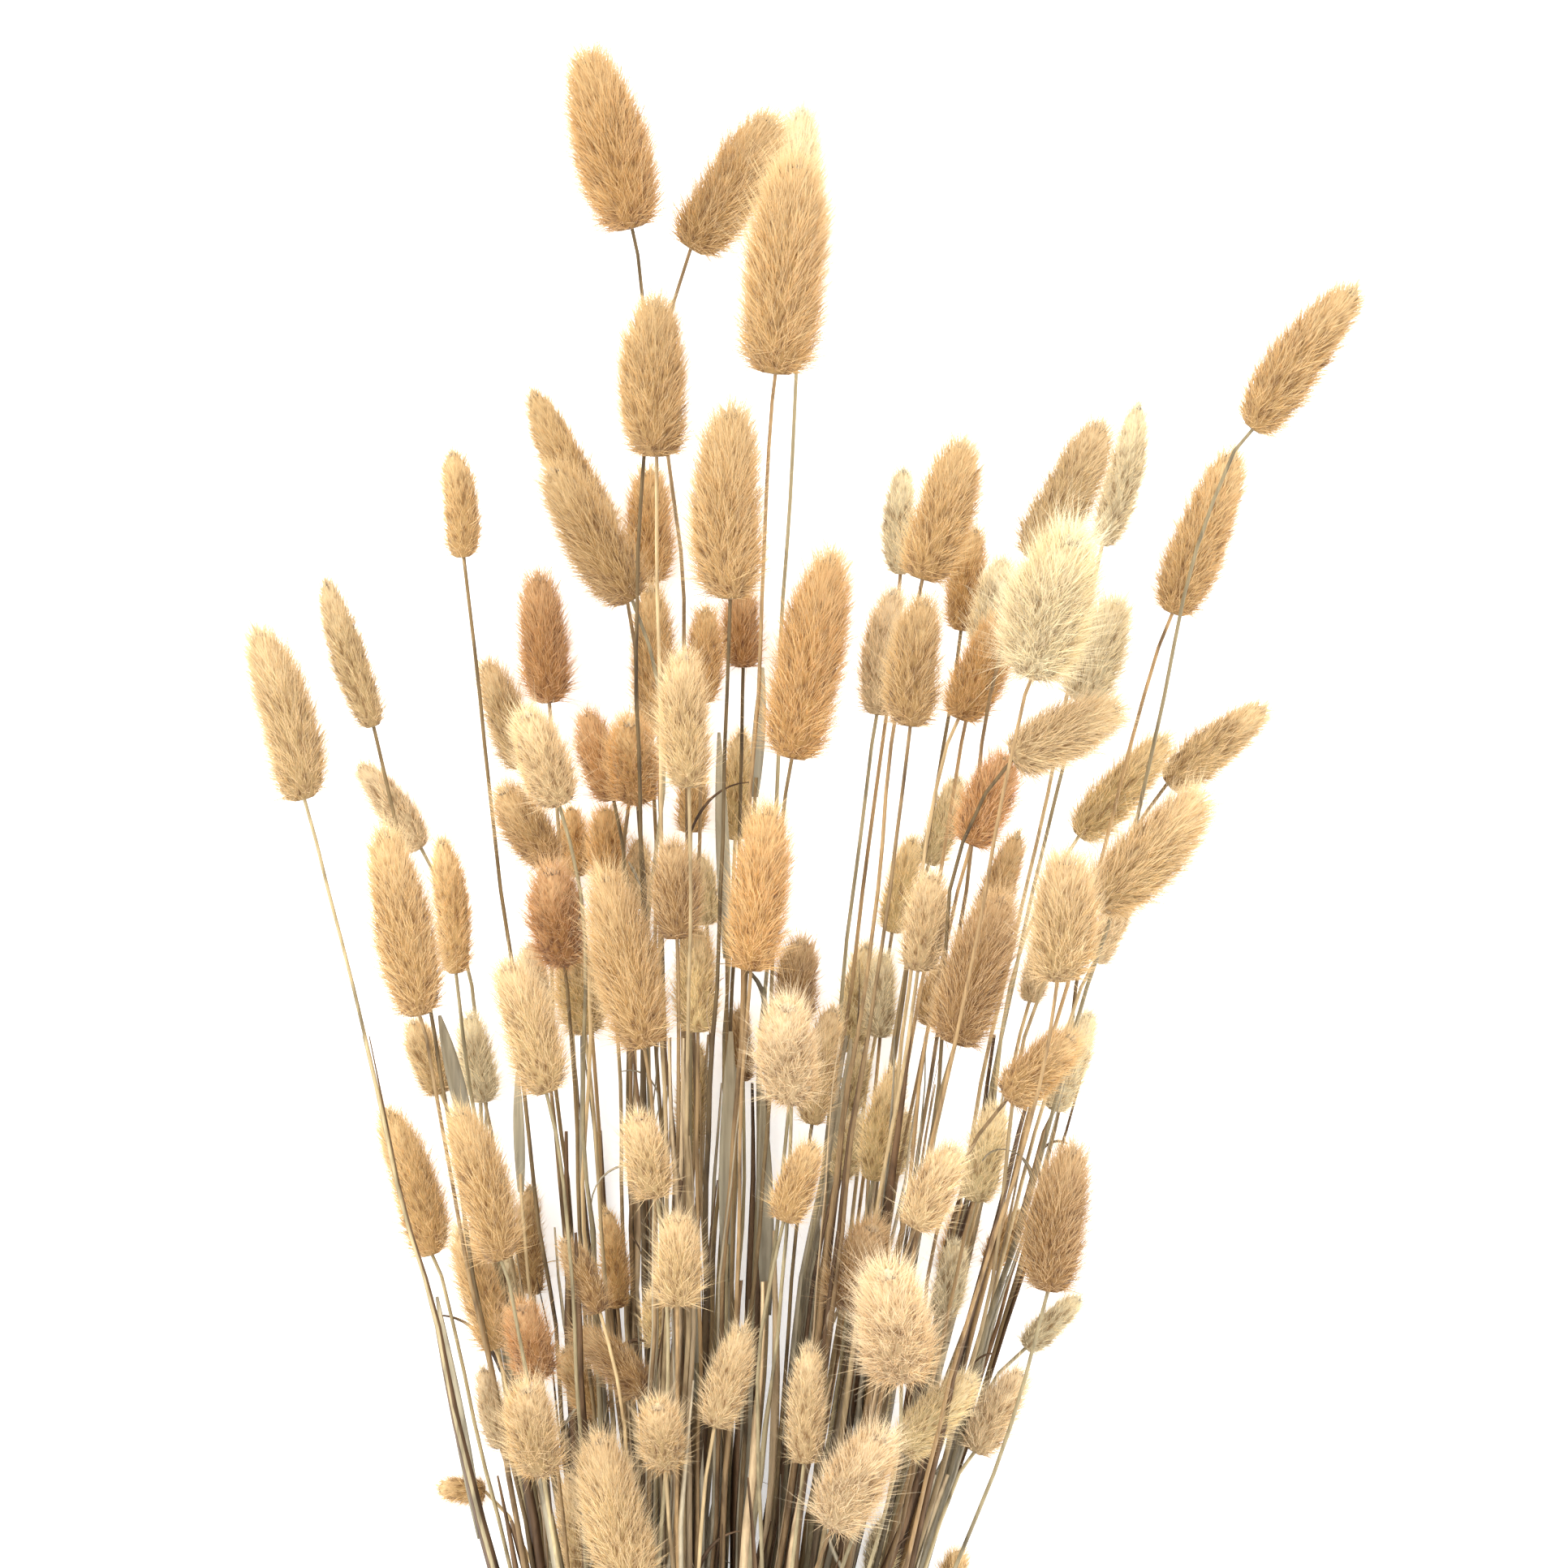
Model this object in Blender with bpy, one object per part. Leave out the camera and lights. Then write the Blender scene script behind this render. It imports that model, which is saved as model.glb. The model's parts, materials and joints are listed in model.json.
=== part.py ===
"""A bunch of dried bunny tail grass: cut flower stems and a few leaf blades, held by a wound twine tie.

The bunch lies on its side on a flat surface. +Y runs along it from the cut ends to the flower heads, +Z is
up, and the origin is on the surface under the middle of the tie. Lengths in the tables and constants are in
millimetres and are turned into metres where the meshes are made.
"""

import math

import bmesh
import bpy
import numpy as np
from mathutils import Matrix, Vector

MM = 0.001

# Driving dimensions
BUNDLE_CORE = 16.4
TIE_WALL = 2.2
ROD_PITCH = 4.3
ROD_RADIUS = 1.92
ROD_SPREAD = 0.98
CUT_LENGTH = 76.0
CUT_UNEVEN = 7.0
ROD_ABOVE_TIE = 7.0
STEM_START = 5.8
AXIS_HEIGHT = BUNDLE_CORE + TIE_WALL
STEM_RADIUS_TIE = 0.85
STEM_RADIUS_NECK = 0.6
STEMS_IN_ROD = 3
ROD_TURN = 0.15
ROD_SIDES = 6
STEM_SIDES = 3

# Rods are tried on a grid of cells this far each way, round this many places of its middle
CELLS_EACH_WAY = 8
MIDDLES_ACROSS = 8
MIDDLES_SPAN = 0.4
MIDDLES_UP = 5

# The heads' table counts from a line across the bunch, this far above the tie and to the left of its axis
TABLE_RISE = 157.0
TABLE_SHIFT = 10.0

# How the fan of heads opens upwards: layer 0 to 2 lies on the surface and layer 9 is the top one
LAYER_ON_SURFACE = 2
TOP_LAYER = 9
FAN_BASE = 30.0
FAN_OPENING = 0.17
SLENDERNESS = 2.0
MOST_RISE_SHARE = 0.6
LAST_DIPPING_LAYER = 4
DIP_SHARE = 0.3

# How the stems are settled clear of each other and of the heads
SLICE = 12.0
LAST_LEVEL_SHARE = 0.35
CLEARANCE = 0.9
ROD_MATES_GAP = 0.25
MOST_HEAD_SHIFT = 9.0
HEAD_BALLS = ((0.06, 0.64), (0.24, 0.94), (0.46, 0.95), (0.68, 0.82), (0.88, 0.50))
LEAF_BALLS = ((0.15, 0.28), (0.4, 0.28), (0.65, 0.28), (0.9, 0.28))
NEAR = 6.0
PASSES = 500
LAST_PASSES = 100
REFRESH = 10
SMOOTHING = 0.5
LAST_SMOOTHING = 0.12
FIRST_COURSE_PULL = 0.08
HEAD_STEP = 0.25
STEM_STEP = 0.4
BEND_STEP = 0.5
BEND_REACH = 0.35
HEAD_LIFT = 0.05
MOST_HEAD_LIFT = 0.5
SURFACE_STEP = 0.5
LEVEL_WITH = 0.5
STEM_ABOVE_SURFACE = 0.4
ROUNDING = 5
STEM_FIT = 0.42
NECK_BEND = 90.0
MOST_BEND_SHARE = 0.45
MOST_NECK_TURN = 0.8

# Outline of a head from its neck to its tip: share of the length, share of the half width
HEAD_RINGS = ((0.0, 0.42), (0.12, 0.86), (0.34, 1.0), (0.58, 0.92), (0.80, 0.66))
SMALL_HEAD_RINGS = ((0.0, 0.5), (0.22, 0.98), (0.55, 0.92), (0.82, 0.6))
SMALL_HEAD_WIDTH = 11.5
TUFT_OUT = 1.0
TUFT_IN = 0.80
TUFT_LEAN = 0.055

# Sides of a head's rings, and how far below its neck its stem's last ring is
HEAD_SIDES = 8
SMALL_HEAD_SIDES = 6
STEM_END_SHARE = 0.02

# Leaf blades: share of the length, share of the half width
LEAF_THICKNESS = 0.8
LEAF_SIDES = 4
LEAF_RINGS = ((0.10, 0.75), (0.38, 1.0), (0.70, 0.72))

# Twine tie
TIE_SIDES = 18
TIE_TURNS = 5
TWINE = 2.1
CREST = 1.1
KNOT_SIZE = (3.4, 3.0, 2.6)
KNOT_TURN = math.radians(63.0)
KNOT_STANDS = 0.35
KNOT_SEGMENTS = 8
KNOT_RINGS = 6
TAIL_LENGTH = 13.0
TAIL_RADIUS = 0.95
TAIL_SIDES = 5
TAIL_STATIONS = (0.0, 0.35, 0.7, 1.0)
TAIL_RISE = 1.2
TAIL_ARCH = 1.6
TAIL_DRIFT = 2.0

SEED = 7

TONES = {
    "cream": (0.90, 0.79, 0.61),
    "straw": (0.84, 0.68, 0.45),
    "gold": (0.82, 0.63, 0.36),
    "tan": (0.76, 0.57, 0.36),
    "peach": (0.84, 0.64, 0.47),
    "orange": (0.79, 0.54, 0.29),
    "rust": (0.68, 0.44, 0.27),
    "brown": (0.63, 0.44, 0.29),
    "umber": (0.56, 0.44, 0.30),
    "olive": (0.68, 0.58, 0.37),
    "sage": (0.72, 0.68, 0.51),
}
STEM_COLOUR = (0.50, 0.41, 0.27)
LEAF_COLOUR = (0.45, 0.42, 0.33)
TWINE_COLOUR = (0.60, 0.46, 0.29)

# Each head: neck x and y, tip x and y, width, layer, tone
HEADS = (
    # Crown of the bunch
    (-24, 329, -36, 376, 20, 6, "tan"),
    (-10, 325, 12, 361, 17, 4, "tan"),
    (17, 320, 18, 365, 14, 2, "cream"),
    (11, 293, 17, 351, 21, 7, "straw"),
    (-18, 273, -18, 315, 18, 7, "tan"),
    (0, 238, 1, 289, 18, 8, "straw"),
    (-30, 255, -51, 294, 12, 3, "tan"),
    (-24, 238, -46, 274, 16, 6, "brown"),
    (-20, 243, -20, 274, 13, 2, "gold"),
    (-18, 205, -20, 246, 12, 3, "gold"),
    (-66, 249, -69, 278, 10, 4, "gold"),
    (-88, 207, -101, 247, 10, 5, "sage"),
    (-105, 189, -118, 235, 15, 5, "straw"),
    # Upper left
    (-45, 213, -48, 248, 13, 3, "brown"),
    (-52, 197, -62, 226, 11, 2, "tan"),
    (-42, 188, -51, 213, 14, 7, "cream"),
    (-29, 189, -36, 213, 11, 3, "brown"),
    (-23, 189, -25, 211, 14, 5, "brown"),
    (-10, 192, -11, 228, 13, 9, "cream"),
    (-7, 213, -6, 239, 10, 4, "tan"),
    (3, 222, 3, 243, 11, 2, "brown"),
    (15, 199, 26, 254, 18, 7, "orange"),
    (1, 179, 3, 209, 9, 1, "gold"),
    (5, 147, 10, 191, 15, 8, "gold"),
    (-13, 155, -14, 181, 13, 8, "brown"),
    (-10, 181, -10, 200, 9, 3, "tan"),
    (-21, 128, -32, 175, 17, 8, "straw"),
    (-41, 149, -44, 175, 15, 6, "rust"),
    (-44, 174, -57, 194, 13, 6, "brown"),
    (-8, 132, -8, 160, 12, 8, "gold"),
    (-36, 132, -40, 156, 14, 5, "tan"),
    (-45, 117, -56, 152, 14, 8, "straw"),
    (-30, 168, -31, 189, 11, 3, "tan"),
    (-38, 170, -40, 189, 9, 2, "tan"),
    (-22, 162, -23, 181, 8, 3, "brown"),
    (-47, 136, -50, 155, 9, 3, "gold"),
    (-6, 158, -8, 177, 9, 3, "gold"),
    # Lower left
    (-76, 136, -86, 186, 16, 8, "straw"),
    (-68, 146, -72, 183, 10, 4, "olive"),
    (-77, 177, -94, 200, 10, 2, "gold"),
    (-72, 116, -80, 136, 10, 2, "tan"),
    (-61, 114, -65, 138, 10, 3, "olive"),
    (-56, 76, -68, 117, 14, 9, "olive"),
    (-74, 76, -87, 116, 13, 3, "orange"),
    (-58, 53, -68, 86, 11, 5, "tan"),
    (-49, 66, -50, 96, 8, 2, "brown"),
    (-47, 47, -52, 67, 12, 7, "rust"),
    (-46, 24, -50, 48, 14, 9, "cream"),
    (-57, 28, -62, 50, 8, 3, "olive"),
    (-32, 63, -42, 83, 9, 8, "olive"),
    (-28, 63, -31, 90, 8, 4, "tan"),
    (-21, 43, -40, 60, 11, 8, "umber"),
    (-32, 37, -42, 55, 10, 6, "rust"),
    (-16, 26, -18, 43, 12, 9, "cream"),
    (-13, 65, -13, 89, 12, 9, "cream"),
    (-18, 54, -18, 71, 8, 7, "gold"),
    (-18, 92, -23, 114, 12, 9, "straw"),
    (-24, -4, -33, 36, 17, 9, "peach"),
    (-36, -7, -40, 25, 10, 5, "cream"),
    (-61, 17, -74, 18, 8, 2, "gold"),
    (-54, 57, -56, 78, 8, 1, "gold"),
    # Lower right
    (-4, 35, 4, 62, 11, 9, "cream"),
    (18, 26, 20, 58, 10, 9, "sage"),
    (25, 11, 39, 36, 16, 9, "peach"),
    (42, 48, 38, 77, 19, 9, "cream"),
    (27, 65, 36, 87, 14, 7, "umber"),
    (52, 61, 56, 82, 9, 6, "gold"),
    (54, 71, 59, 90, 9, 3, "tan"),
    (78, 68, 85, 107, 16, 7, "rust"),
    (73, 53, 88, 67, 8, 3, "sage"),
    (42, 29, 61, 49, 12, 9, "tan"),
    (60, 28, 73, 50, 11, 6, "tan"),
    (64, 73, 73, 89, 8, 4, "olive"),
    (45, 84, 56, 106, 12, 9, "cream"),
    (13, 86, 21, 107, 11, 9, "peach"),
    (60, 90, 66, 116, 11, 6, "straw"),
    (35, 95, 42, 126, 10, 6, "tan"),
    (27, 95, 32, 113, 8, 4, "olive"),
    (36, -5, 38, 13, 9, 5, "sage"),
    (54, -8, 57, 4, 8, 4, "orange"),
    (33, 36, 36, 58, 10, 6, "umber"),
    (39, 95, 44, 113, 8, 2, "tan"),
    # Middle right
    (15, 116, 14, 142, 16, 9, "cream"),
    (20, 109, 26, 141, 10, 6, "olive"),
    (16, 134, 18, 157, 12, 6, "tan"),
    (3, 119, 2, 139, 8, 2, "brown"),
    (-10, 102, -8, 131, 9, 3, "tan"),
    (55, 129, 68, 169, 17, 8, "brown"),
    (61, 150, 72, 184, 10, 5, "olive"),
    (49, 133, 53, 150, 9, 3, "gold"),
    (46, 147, 50, 173, 12, 7, "cream"),
    (80, 145, 82, 178, 17, 9, "cream"),
    (89, 163, 118, 193, 17, 7, "straw"),
    (108, 193, 135, 214, 12, 3, "straw"),
    (86, 180, 110, 207, 12, 4, "olive"),
    (90, 149, 99, 168, 9, 4, "tan"),
    (74, 139, 78, 156, 8, 3, "olive"),
    (69, 199, 98, 213, 15, 7, "straw"),
    (59, 178, 69, 202, 13, 7, "brown"),
    (49, 173, 57, 197, 9, 3, "gold"),
    (40, 156, 46, 182, 9, 2, "gold"),
    (37, 130, 38, 153, 9, 2, "gold"),
    (30, 126, 34, 156, 9, 1, "olive"),
    (68, 116, 86, 133, 13, 8, "tan"),
    (80, 112, 90, 139, 10, 4, "gold"),
    (28, 110, 33, 129, 8, 2, "olive"),
    # Upper right
    (74, 220, 85, 257, 22, 8, "cream"),
    (87, 213, 97, 241, 15, 3, "cream"),
    (47, 243, 58, 280, 16, 7, "olive"),
    (42, 245, 43, 274, 9, 3, "cream"),
    (57, 231, 61, 259, 10, 3, "rust"),
    (44, 207, 48, 241, 14, 8, "tan"),
    (36, 210, 41, 244, 11, 5, "straw"),
    (56, 209, 68, 237, 14, 6, "brown"),
    (62, 227, 68, 251, 11, 4, "cream"),
    (74, 248, 93, 285, 15, 6, "sage"),
    (92, 252, 102, 291, 10, 3, "straw"),
    (128, 280, 156, 318, 15, 6, "tan"),
    (109, 235, 126, 279, 15, 4, "orange"),
)

# Each leaf blade: where it opens x and y, tip x and y, width, layer
LEAVES = (
    (-1, 70, 0, 132, 4.6, 5),
    (9, 62, 8, 118, 4.2, 6),
    (-8, 40, -11, 104, 3.6, 4),
    (16, 30, 22, 88, 3.4, 4),
    (-16, 20, -22, 78, 3.2, 3),
    (2, 10, 5, 66, 3.8, 7),
    (-64, 104, -72, 136, 4.2, 5),
    (6, 190, 8, 222, 3.2, 5),
    (-1, 150, -3, 206, 3.4, 4),
    (-52, 92, -53, 122, 2.8, 4),
    (47, 12, 58, 34, 3.2, 5),
    (-62, 6, -73, 66, 3.4, 4),
    (24, 84, 30, 130, 3.2, 3),
)


def clear_scene():
    """Removes what the start-up scene holds."""
    for obj in list(bpy.data.objects):
        bpy.data.objects.remove(obj, do_unlink=True)


def material(name, colour, roughness):
    """A matt dried-plant finish."""
    made = bpy.data.materials.get(name)
    if made is None:
        made = bpy.data.materials.new(name)
        made.use_nodes = True
        shader = made.node_tree.nodes["Principled BSDF"]
        shader.inputs["Base Color"].default_value = (*colour, 1.0)
        shader.inputs["Roughness"].default_value = roughness
        shader.inputs["Metallic"].default_value = 0.0
    return made


class Culm:
    """One stem with what it ends in: a flower head, or a leaf blade."""

    def __init__(self, row, is_leaf):
        near_x, near_y, far_x, far_y, self.width, self.layer = row[:6]
        self.is_leaf = is_leaf
        self.tone = "leaf" if is_leaf else row[6]
        self.neck = np.array((near_x + TABLE_SHIFT, near_y + TABLE_RISE, 0.0))
        across = np.array((far_x - near_x, far_y - near_y), float)
        seen = float(np.hypot(*across))
        self.radius = LEAF_THICKNESS if is_leaf else self.width / 2
        rise = self.leaning_out(seen)
        self.along = np.array((*across, rise))
        lift = max(0, self.layer - LAYER_ON_SURFACE) / (TOP_LAYER - LAYER_ON_SURFACE)
        self.neck[2] = self.radius + lift * (FAN_BASE + FAN_OPENING * self.neck[1])

    def leaning_out(self, seen):
        """A head that looks short from above leans up out of the bunch, or down if it is a low one."""
        full = SLENDERNESS * self.width
        if self.is_leaf or self.layer <= LAYER_ON_SURFACE or full <= seen:
            return 0.0
        rise = min(math.sqrt(full * full - seen * seen), MOST_RISE_SHARE * full)
        return rise if self.layer > LAST_DIPPING_LAYER else -DIP_SHARE * rise

    def outline(self):
        """The rings of the head, as shares of its length and half width."""
        return SMALL_HEAD_RINGS if self.width < SMALL_HEAD_WIDTH else HEAD_RINGS

    def stem_radius(self, y):
        """The stem thins evenly from the tie to the neck."""
        share = min(1.0, max(0.0, y / self.neck[1]))
        return STEM_RADIUS_TIE + (STEM_RADIUS_NECK - STEM_RADIUS_TIE) * share


def hexagon_cells(count):
    """The centres of a bundle's rods, row by row from the bottom, packed as closely as they go."""
    cells = [
        ((column + 0.5 * (row % 2)) * ROD_PITCH, row * ROD_PITCH * math.sqrt(0.75))
        for row in range(-CELLS_EACH_WAY, CELLS_EACH_WAY + 1)
        for column in range(-CELLS_EACH_WAY, CELLS_EACH_WAY + 1)
    ]
    best = None
    for step in range(MIDDLES_ACROSS * MIDDLES_UP):
        across = step % MIDDLES_ACROSS * MIDDLES_SPAN / MIDDLES_ACROSS
        middle = (across * ROD_PITCH, step // MIDDLES_ACROSS / MIDDLES_UP * ROD_PITCH)
        cells.sort(key=lambda c: (round(math.dist(c, middle), 6), c))
        reach = round(math.dist(cells[count - 1], middle), 6)
        if best is None or reach < best[0]:
            best = (reach, [(round(x - middle[0], 4), round(z - middle[1], 4)) for x, z in cells[:count]])
    return sorted(best[1], key=lambda c: (c[1], c[0]))


def sort_into_rods(culms):
    """Gives each rod its stems, so that the fan opens from the bundle with its rows and columns in order."""
    count = -(-len(culms) // STEMS_IN_ROD)
    cells = hexagon_cells(count)
    steepness = [(c.neck[2] - AXIS_HEIGHT) / c.neck[1] for c in culms]
    lean = [c.neck[0] / c.neck[1] for c in culms]
    rising = sorted(range(len(culms)), key=lambda i: (steepness[i], i))
    rods = []
    taken = 0
    for height in sorted({cell[1] for cell in cells}):
        row = [cell for cell in cells if cell[1] == height]
        share = rising[taken : taken + STEMS_IN_ROD * len(row)]
        taken += len(share)
        share.sort(key=lambda i: (lean[i], i))
        for place, cell in enumerate(row):
            members = share[place * STEMS_IN_ROD : (place + 1) * STEMS_IN_ROD]
            if members:
                rods.append((cell, members))
    return rods


class Fan:
    """Where every stem and head lies, settled so that none runs through another."""

    def __init__(self, culms, rods):
        self.culms = culms
        count = len(culms)
        self.rod_of = np.zeros(count, int)
        self.root = np.zeros((count, 2))
        for number, (cell, members) in enumerate(rods):
            for i, member in enumerate(members):
                turn = 2 * math.pi * (i / STEMS_IN_ROD + ROD_TURN)
                spoke = (ROD_SPREAD * math.cos(turn), ROD_SPREAD * math.sin(turn))
                self.rod_of[member] = number
                self.root[member] = (cell[0] + spoke[0], cell[1] + spoke[1])
        self.neck = np.array([c.neck for c in culms])
        self.planned = self.neck[:, 2].copy()
        self.levels = np.arange(0.0, self.neck[:, 1].max() + SLICE, SLICE)
        self.there = self.levels[None, :] < self.neck[:, 1, None] - LAST_LEVEL_SHARE * SLICE
        self.stem_width = np.array([[c.stem_radius(y) for y in self.levels] for c in culms])
        self.lay_stems()
        self.place_balls()
        self.settle()

    def lay_stems(self):
        """Each stem's first course: straight from the tie to the neck, with a bend into the head."""
        self.x = np.zeros((len(self.culms), len(self.levels)))
        self.z = np.zeros_like(self.x)
        for i, culm in enumerate(self.culms):
            length = self.neck[i, 1]
            share = np.clip(self.levels / length, 0, 1)
            bend = min(NECK_BEND, MOST_BEND_SHARE * length)
            late = np.clip((self.levels - (length - bend)) / bend, 0, 1)
            starts = (self.root[i, 0], AXIS_HEIGHT + self.root[i, 1])
            for axis, course, root in ((0, self.x, starts[0]), (2, self.z, starts[1])):
                slope = (self.neck[i, axis] - root) / length
                run = max(culm.along[1], 1.0)
                turn = np.clip(culm.along[axis] / run - slope, -MOST_NECK_TURN, MOST_NECK_TURN)
                course[i] = root + (self.neck[i, axis] - root) * share + turn * bend * (late**3 - late**2)
        self.first_x = self.x.copy()

    def place_balls(self):
        """Balls along each head and blade stand for it while it is settled, and which may touch is noted."""
        owner, offset, radius = [], [], []
        for i, culm in enumerate(self.culms):
            for share, swell in LEAF_BALLS if culm.is_leaf else HEAD_BALLS:
                owner.append(i)
                offset.append(culm.along * share)
                radius.append(culm.width / 2 * swell)
        self.owner = np.array(owner)
        self.offset = np.array(offset)
        self.ball = np.array(radius)
        at = self.balls()
        flat = (at[:, None, 0] - at[None, :, 0]) ** 2 + (at[:, None, 1] - at[None, :, 1]) ** 2
        apart = self.ball[:, None] + self.ball[None, :] + CLEARANCE
        touching = (flat < apart**2) & (self.owner[:, None] < self.owner[None, :])
        self.one, self.other = np.nonzero(touching)
        self.needed = np.sqrt((apart**2 - flat)[touching])
        layer = np.array([c.layer for c in self.culms])[self.owner]
        self.first_over = np.where(layer[self.one] >= layer[self.other], 1.0, -1.0)

    def balls(self):
        """The balls' centres now."""
        return self.neck[self.owner] + self.offset

    def find_neighbours(self):
        """Notes the stems that pass near each other, and those that pass near a ball."""
        near = np.abs(self.x[:, None, :] - self.x[None, :, :]) < NEAR
        near &= np.abs(self.z[:, None, :] - self.z[None, :, :]) < NEAR
        near &= self.there[:, None, :] & self.there[None, :, :]
        near &= np.triu(np.ones((len(self.culms),) * 2, bool), 1)[:, :, None]
        i, j, k = self.pairs = np.nonzero(near)
        gap = np.where(self.rod_of[i] == self.rod_of[j], ROD_MATES_GAP, CLEARANCE)
        self.pair_apart = self.stem_width[i, k] + self.stem_width[j, k] + gap
        at = self.balls()
        below = np.clip((at[:, 1] / SLICE).astype(int), 0, len(self.levels) - 2)
        near = np.abs(self.x[:, below] - at[None, :, 0]) < NEAR + self.ball[None, :]
        near &= np.abs(self.z[:, below] - at[None, :, 2]) < NEAR + self.ball[None, :]
        near &= at[None, :, 1] < self.neck[:, 1, None]
        near &= np.arange(len(self.culms))[:, None] != self.owner[None, :]
        self.stem, self.beside = np.nonzero(near)
        self.below = below[self.beside]
        self.share = at[self.beside, 1] / SLICE - self.below
        self.beside_apart = self.ball[self.beside] + self.stem_width[self.stem, self.below] + CLEARANCE

    def settle(self):
        """Pushes what overlaps apart, and smooths the stems, over and over."""
        for number in range(PASSES):
            if number % REFRESH == 0:
                self.find_neighbours()
            self.smooth(SMOOTHING if number < PASSES - LAST_PASSES else LAST_SMOOTHING)
            self.part_heads()
            self.part_stems()
            self.part_stems_from_heads()
            self.keep_above_surface()
            self.x = np.round(self.x, ROUNDING)
            self.z = np.round(self.z, ROUNDING)
            self.neck = np.round(self.neck, ROUNDING)

    def smooth(self, share):
        """Draws each stem towards a smooth line between its root and its neck."""
        self.x += FIRST_COURSE_PULL * (self.first_x - self.x)
        starts = (self.root[:, 0], AXIS_HEIGHT + self.root[:, 1])
        for course, axis, start in ((self.x, 0, starts[0]), (self.z, 2, starts[1])):
            padded = np.where(self.there, course, self.neck[:, axis, None])
            course[:, 1:-1] += share * (0.5 * (padded[:, :-2] + padded[:, 2:]) - course[:, 1:-1])
            course[:, 0] = start

    def part_heads(self):
        """Moves heads that touch up and down from each other."""
        height = self.balls()[:, 2]
        gap = height[self.one] - height[self.other]
        over = np.where(np.abs(gap) > LEVEL_WITH, np.sign(gap), self.first_over)
        push = over * np.maximum(self.needed - np.abs(gap), 0)
        up = np.zeros(len(self.culms))
        down = np.zeros(len(self.culms))
        for side, moved in ((self.one, push), (self.other, -push)):
            np.maximum.at(up, self.owner[side], moved)
            np.minimum.at(down, self.owner[side], moved)
        self.neck[:, 2] += HEAD_STEP * (up + down)

    def add(self, course, stem, level, amount):
        """Adds each amount to a stem's place at a level."""
        place = stem * len(self.levels) + level
        course += np.bincount(place, amount, course.size).reshape(course.shape)

    def part_stems(self):
        """Moves stems apart where they pass too close, which is closer for those of one rod."""
        i, j, k = self.pairs
        across = self.x[i, k] - self.x[j, k]
        above = self.z[i, k] - self.z[j, k]
        distance = np.sqrt(across**2 + above**2) + 1e-6
        step = STEM_STEP * np.maximum(self.pair_apart - distance, 0) / distance
        step[k == 0] = 0
        for course, gap in ((self.x, across), (self.z, above)):
            self.add(course, i, k, step * gap)
            self.add(course, j, k, -step * gap)

    def part_stems_from_heads(self):
        """Bends stems round the heads of others, and gives the heads a little of the push."""
        at = self.balls()[self.beside]
        low = (self.stem, self.below)
        high = (self.stem, self.below + 1)
        across = self.x[low] * (1 - self.share) + self.x[high] * self.share - at[:, 0]
        above = self.z[low] * (1 - self.share) + self.z[high] * self.share - at[:, 2]
        distance = np.sqrt(across**2 + above**2) + 1e-6
        step = np.maximum(self.beside_apart - distance, 0) / distance
        for place, weight in ((low, 1 - self.share), (high, self.share)):
            strength = BEND_STEP * np.clip(weight + BEND_REACH, 0, 1) * step
            self.add(self.x, *place, strength * across)
            self.add(self.z, *place, strength * above)
        lift = np.bincount(self.owner[self.beside], -HEAD_LIFT * step * above, len(self.culms))
        self.neck[:, 2] += np.clip(lift, -MOST_HEAD_LIFT, MOST_HEAD_LIFT)

    def keep_above_surface(self):
        """Nothing sinks below what the bunch lies on, and no head strays far from its layer."""
        sunk = np.zeros(len(self.culms))
        np.maximum.at(sunk, self.owner, self.ball - self.balls()[:, 2])
        self.neck[:, 2] += SURFACE_STEP * sunk
        lowest, highest = self.planned - MOST_HEAD_SHIFT, self.planned + MOST_HEAD_SHIFT
        self.neck[:, 2] = np.clip(self.neck[:, 2], lowest, highest)
        self.z = np.maximum(self.z, self.stem_width + STEM_ABOVE_SURFACE)

    def course(self, i):
        """The points of a stem from inside its rod to its neck, with no more than its bends need."""
        use = self.there[i] & (self.levels > ROD_ABOVE_TIE)
        points = [np.array((self.root[i, 0], STEM_START, AXIS_HEIGHT + self.root[i, 1]))]
        points += [np.array(p) for p in zip(self.x[i, use], self.levels[use], self.z[i, use])]
        points.append(self.neck[i])
        return thinned(points, STEM_FIT)


def thinned(points, fit):
    """The same line through fewer points, none of those left out farther off than fit."""
    if len(points) < 3:
        return points
    start, end = points[0], points[-1]
    run = (end - start) / np.linalg.norm(end - start)
    off = [np.linalg.norm(p - start - run * np.dot(p - start, run)) for p in points[1:-1]]
    worst = int(np.argmax(off))
    if off[worst] <= fit:
        return [start, end]
    middle = worst + 1
    return thinned(points[: middle + 1], fit)[:-1] + thinned(points[middle:], fit)


def ring_axes(along):
    """Two directions square to a stem or a head: sideways, and up."""
    along = Vector(along).normalized()
    side = along.cross(Vector((0, 0, 1))).normalized()
    return side, side.cross(along)


def ring(centre, along, sides, radius, squash=1.0, turn=0.0, lean=None, tuft=None):
    """One ring of points. Where tuft is given, every second point stands out and leans towards the tip."""
    side, up = ring_axes(along)
    forward = Vector(along).normalized()
    made = []
    for j in range(sides):
        angle = 2 * math.pi * j / sides + turn
        out = radius
        shift = 0.0
        if tuft is not None:
            raised = (j + tuft) % 2 == 0
            out *= TUFT_OUT if raised else TUFT_IN
            shift = lean if raised else 0.0
        offset = side * (out * math.cos(angle)) + up * (out * squash * math.sin(angle))
        made.append(Vector(centre) + offset + forward * shift)
    return made


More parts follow.
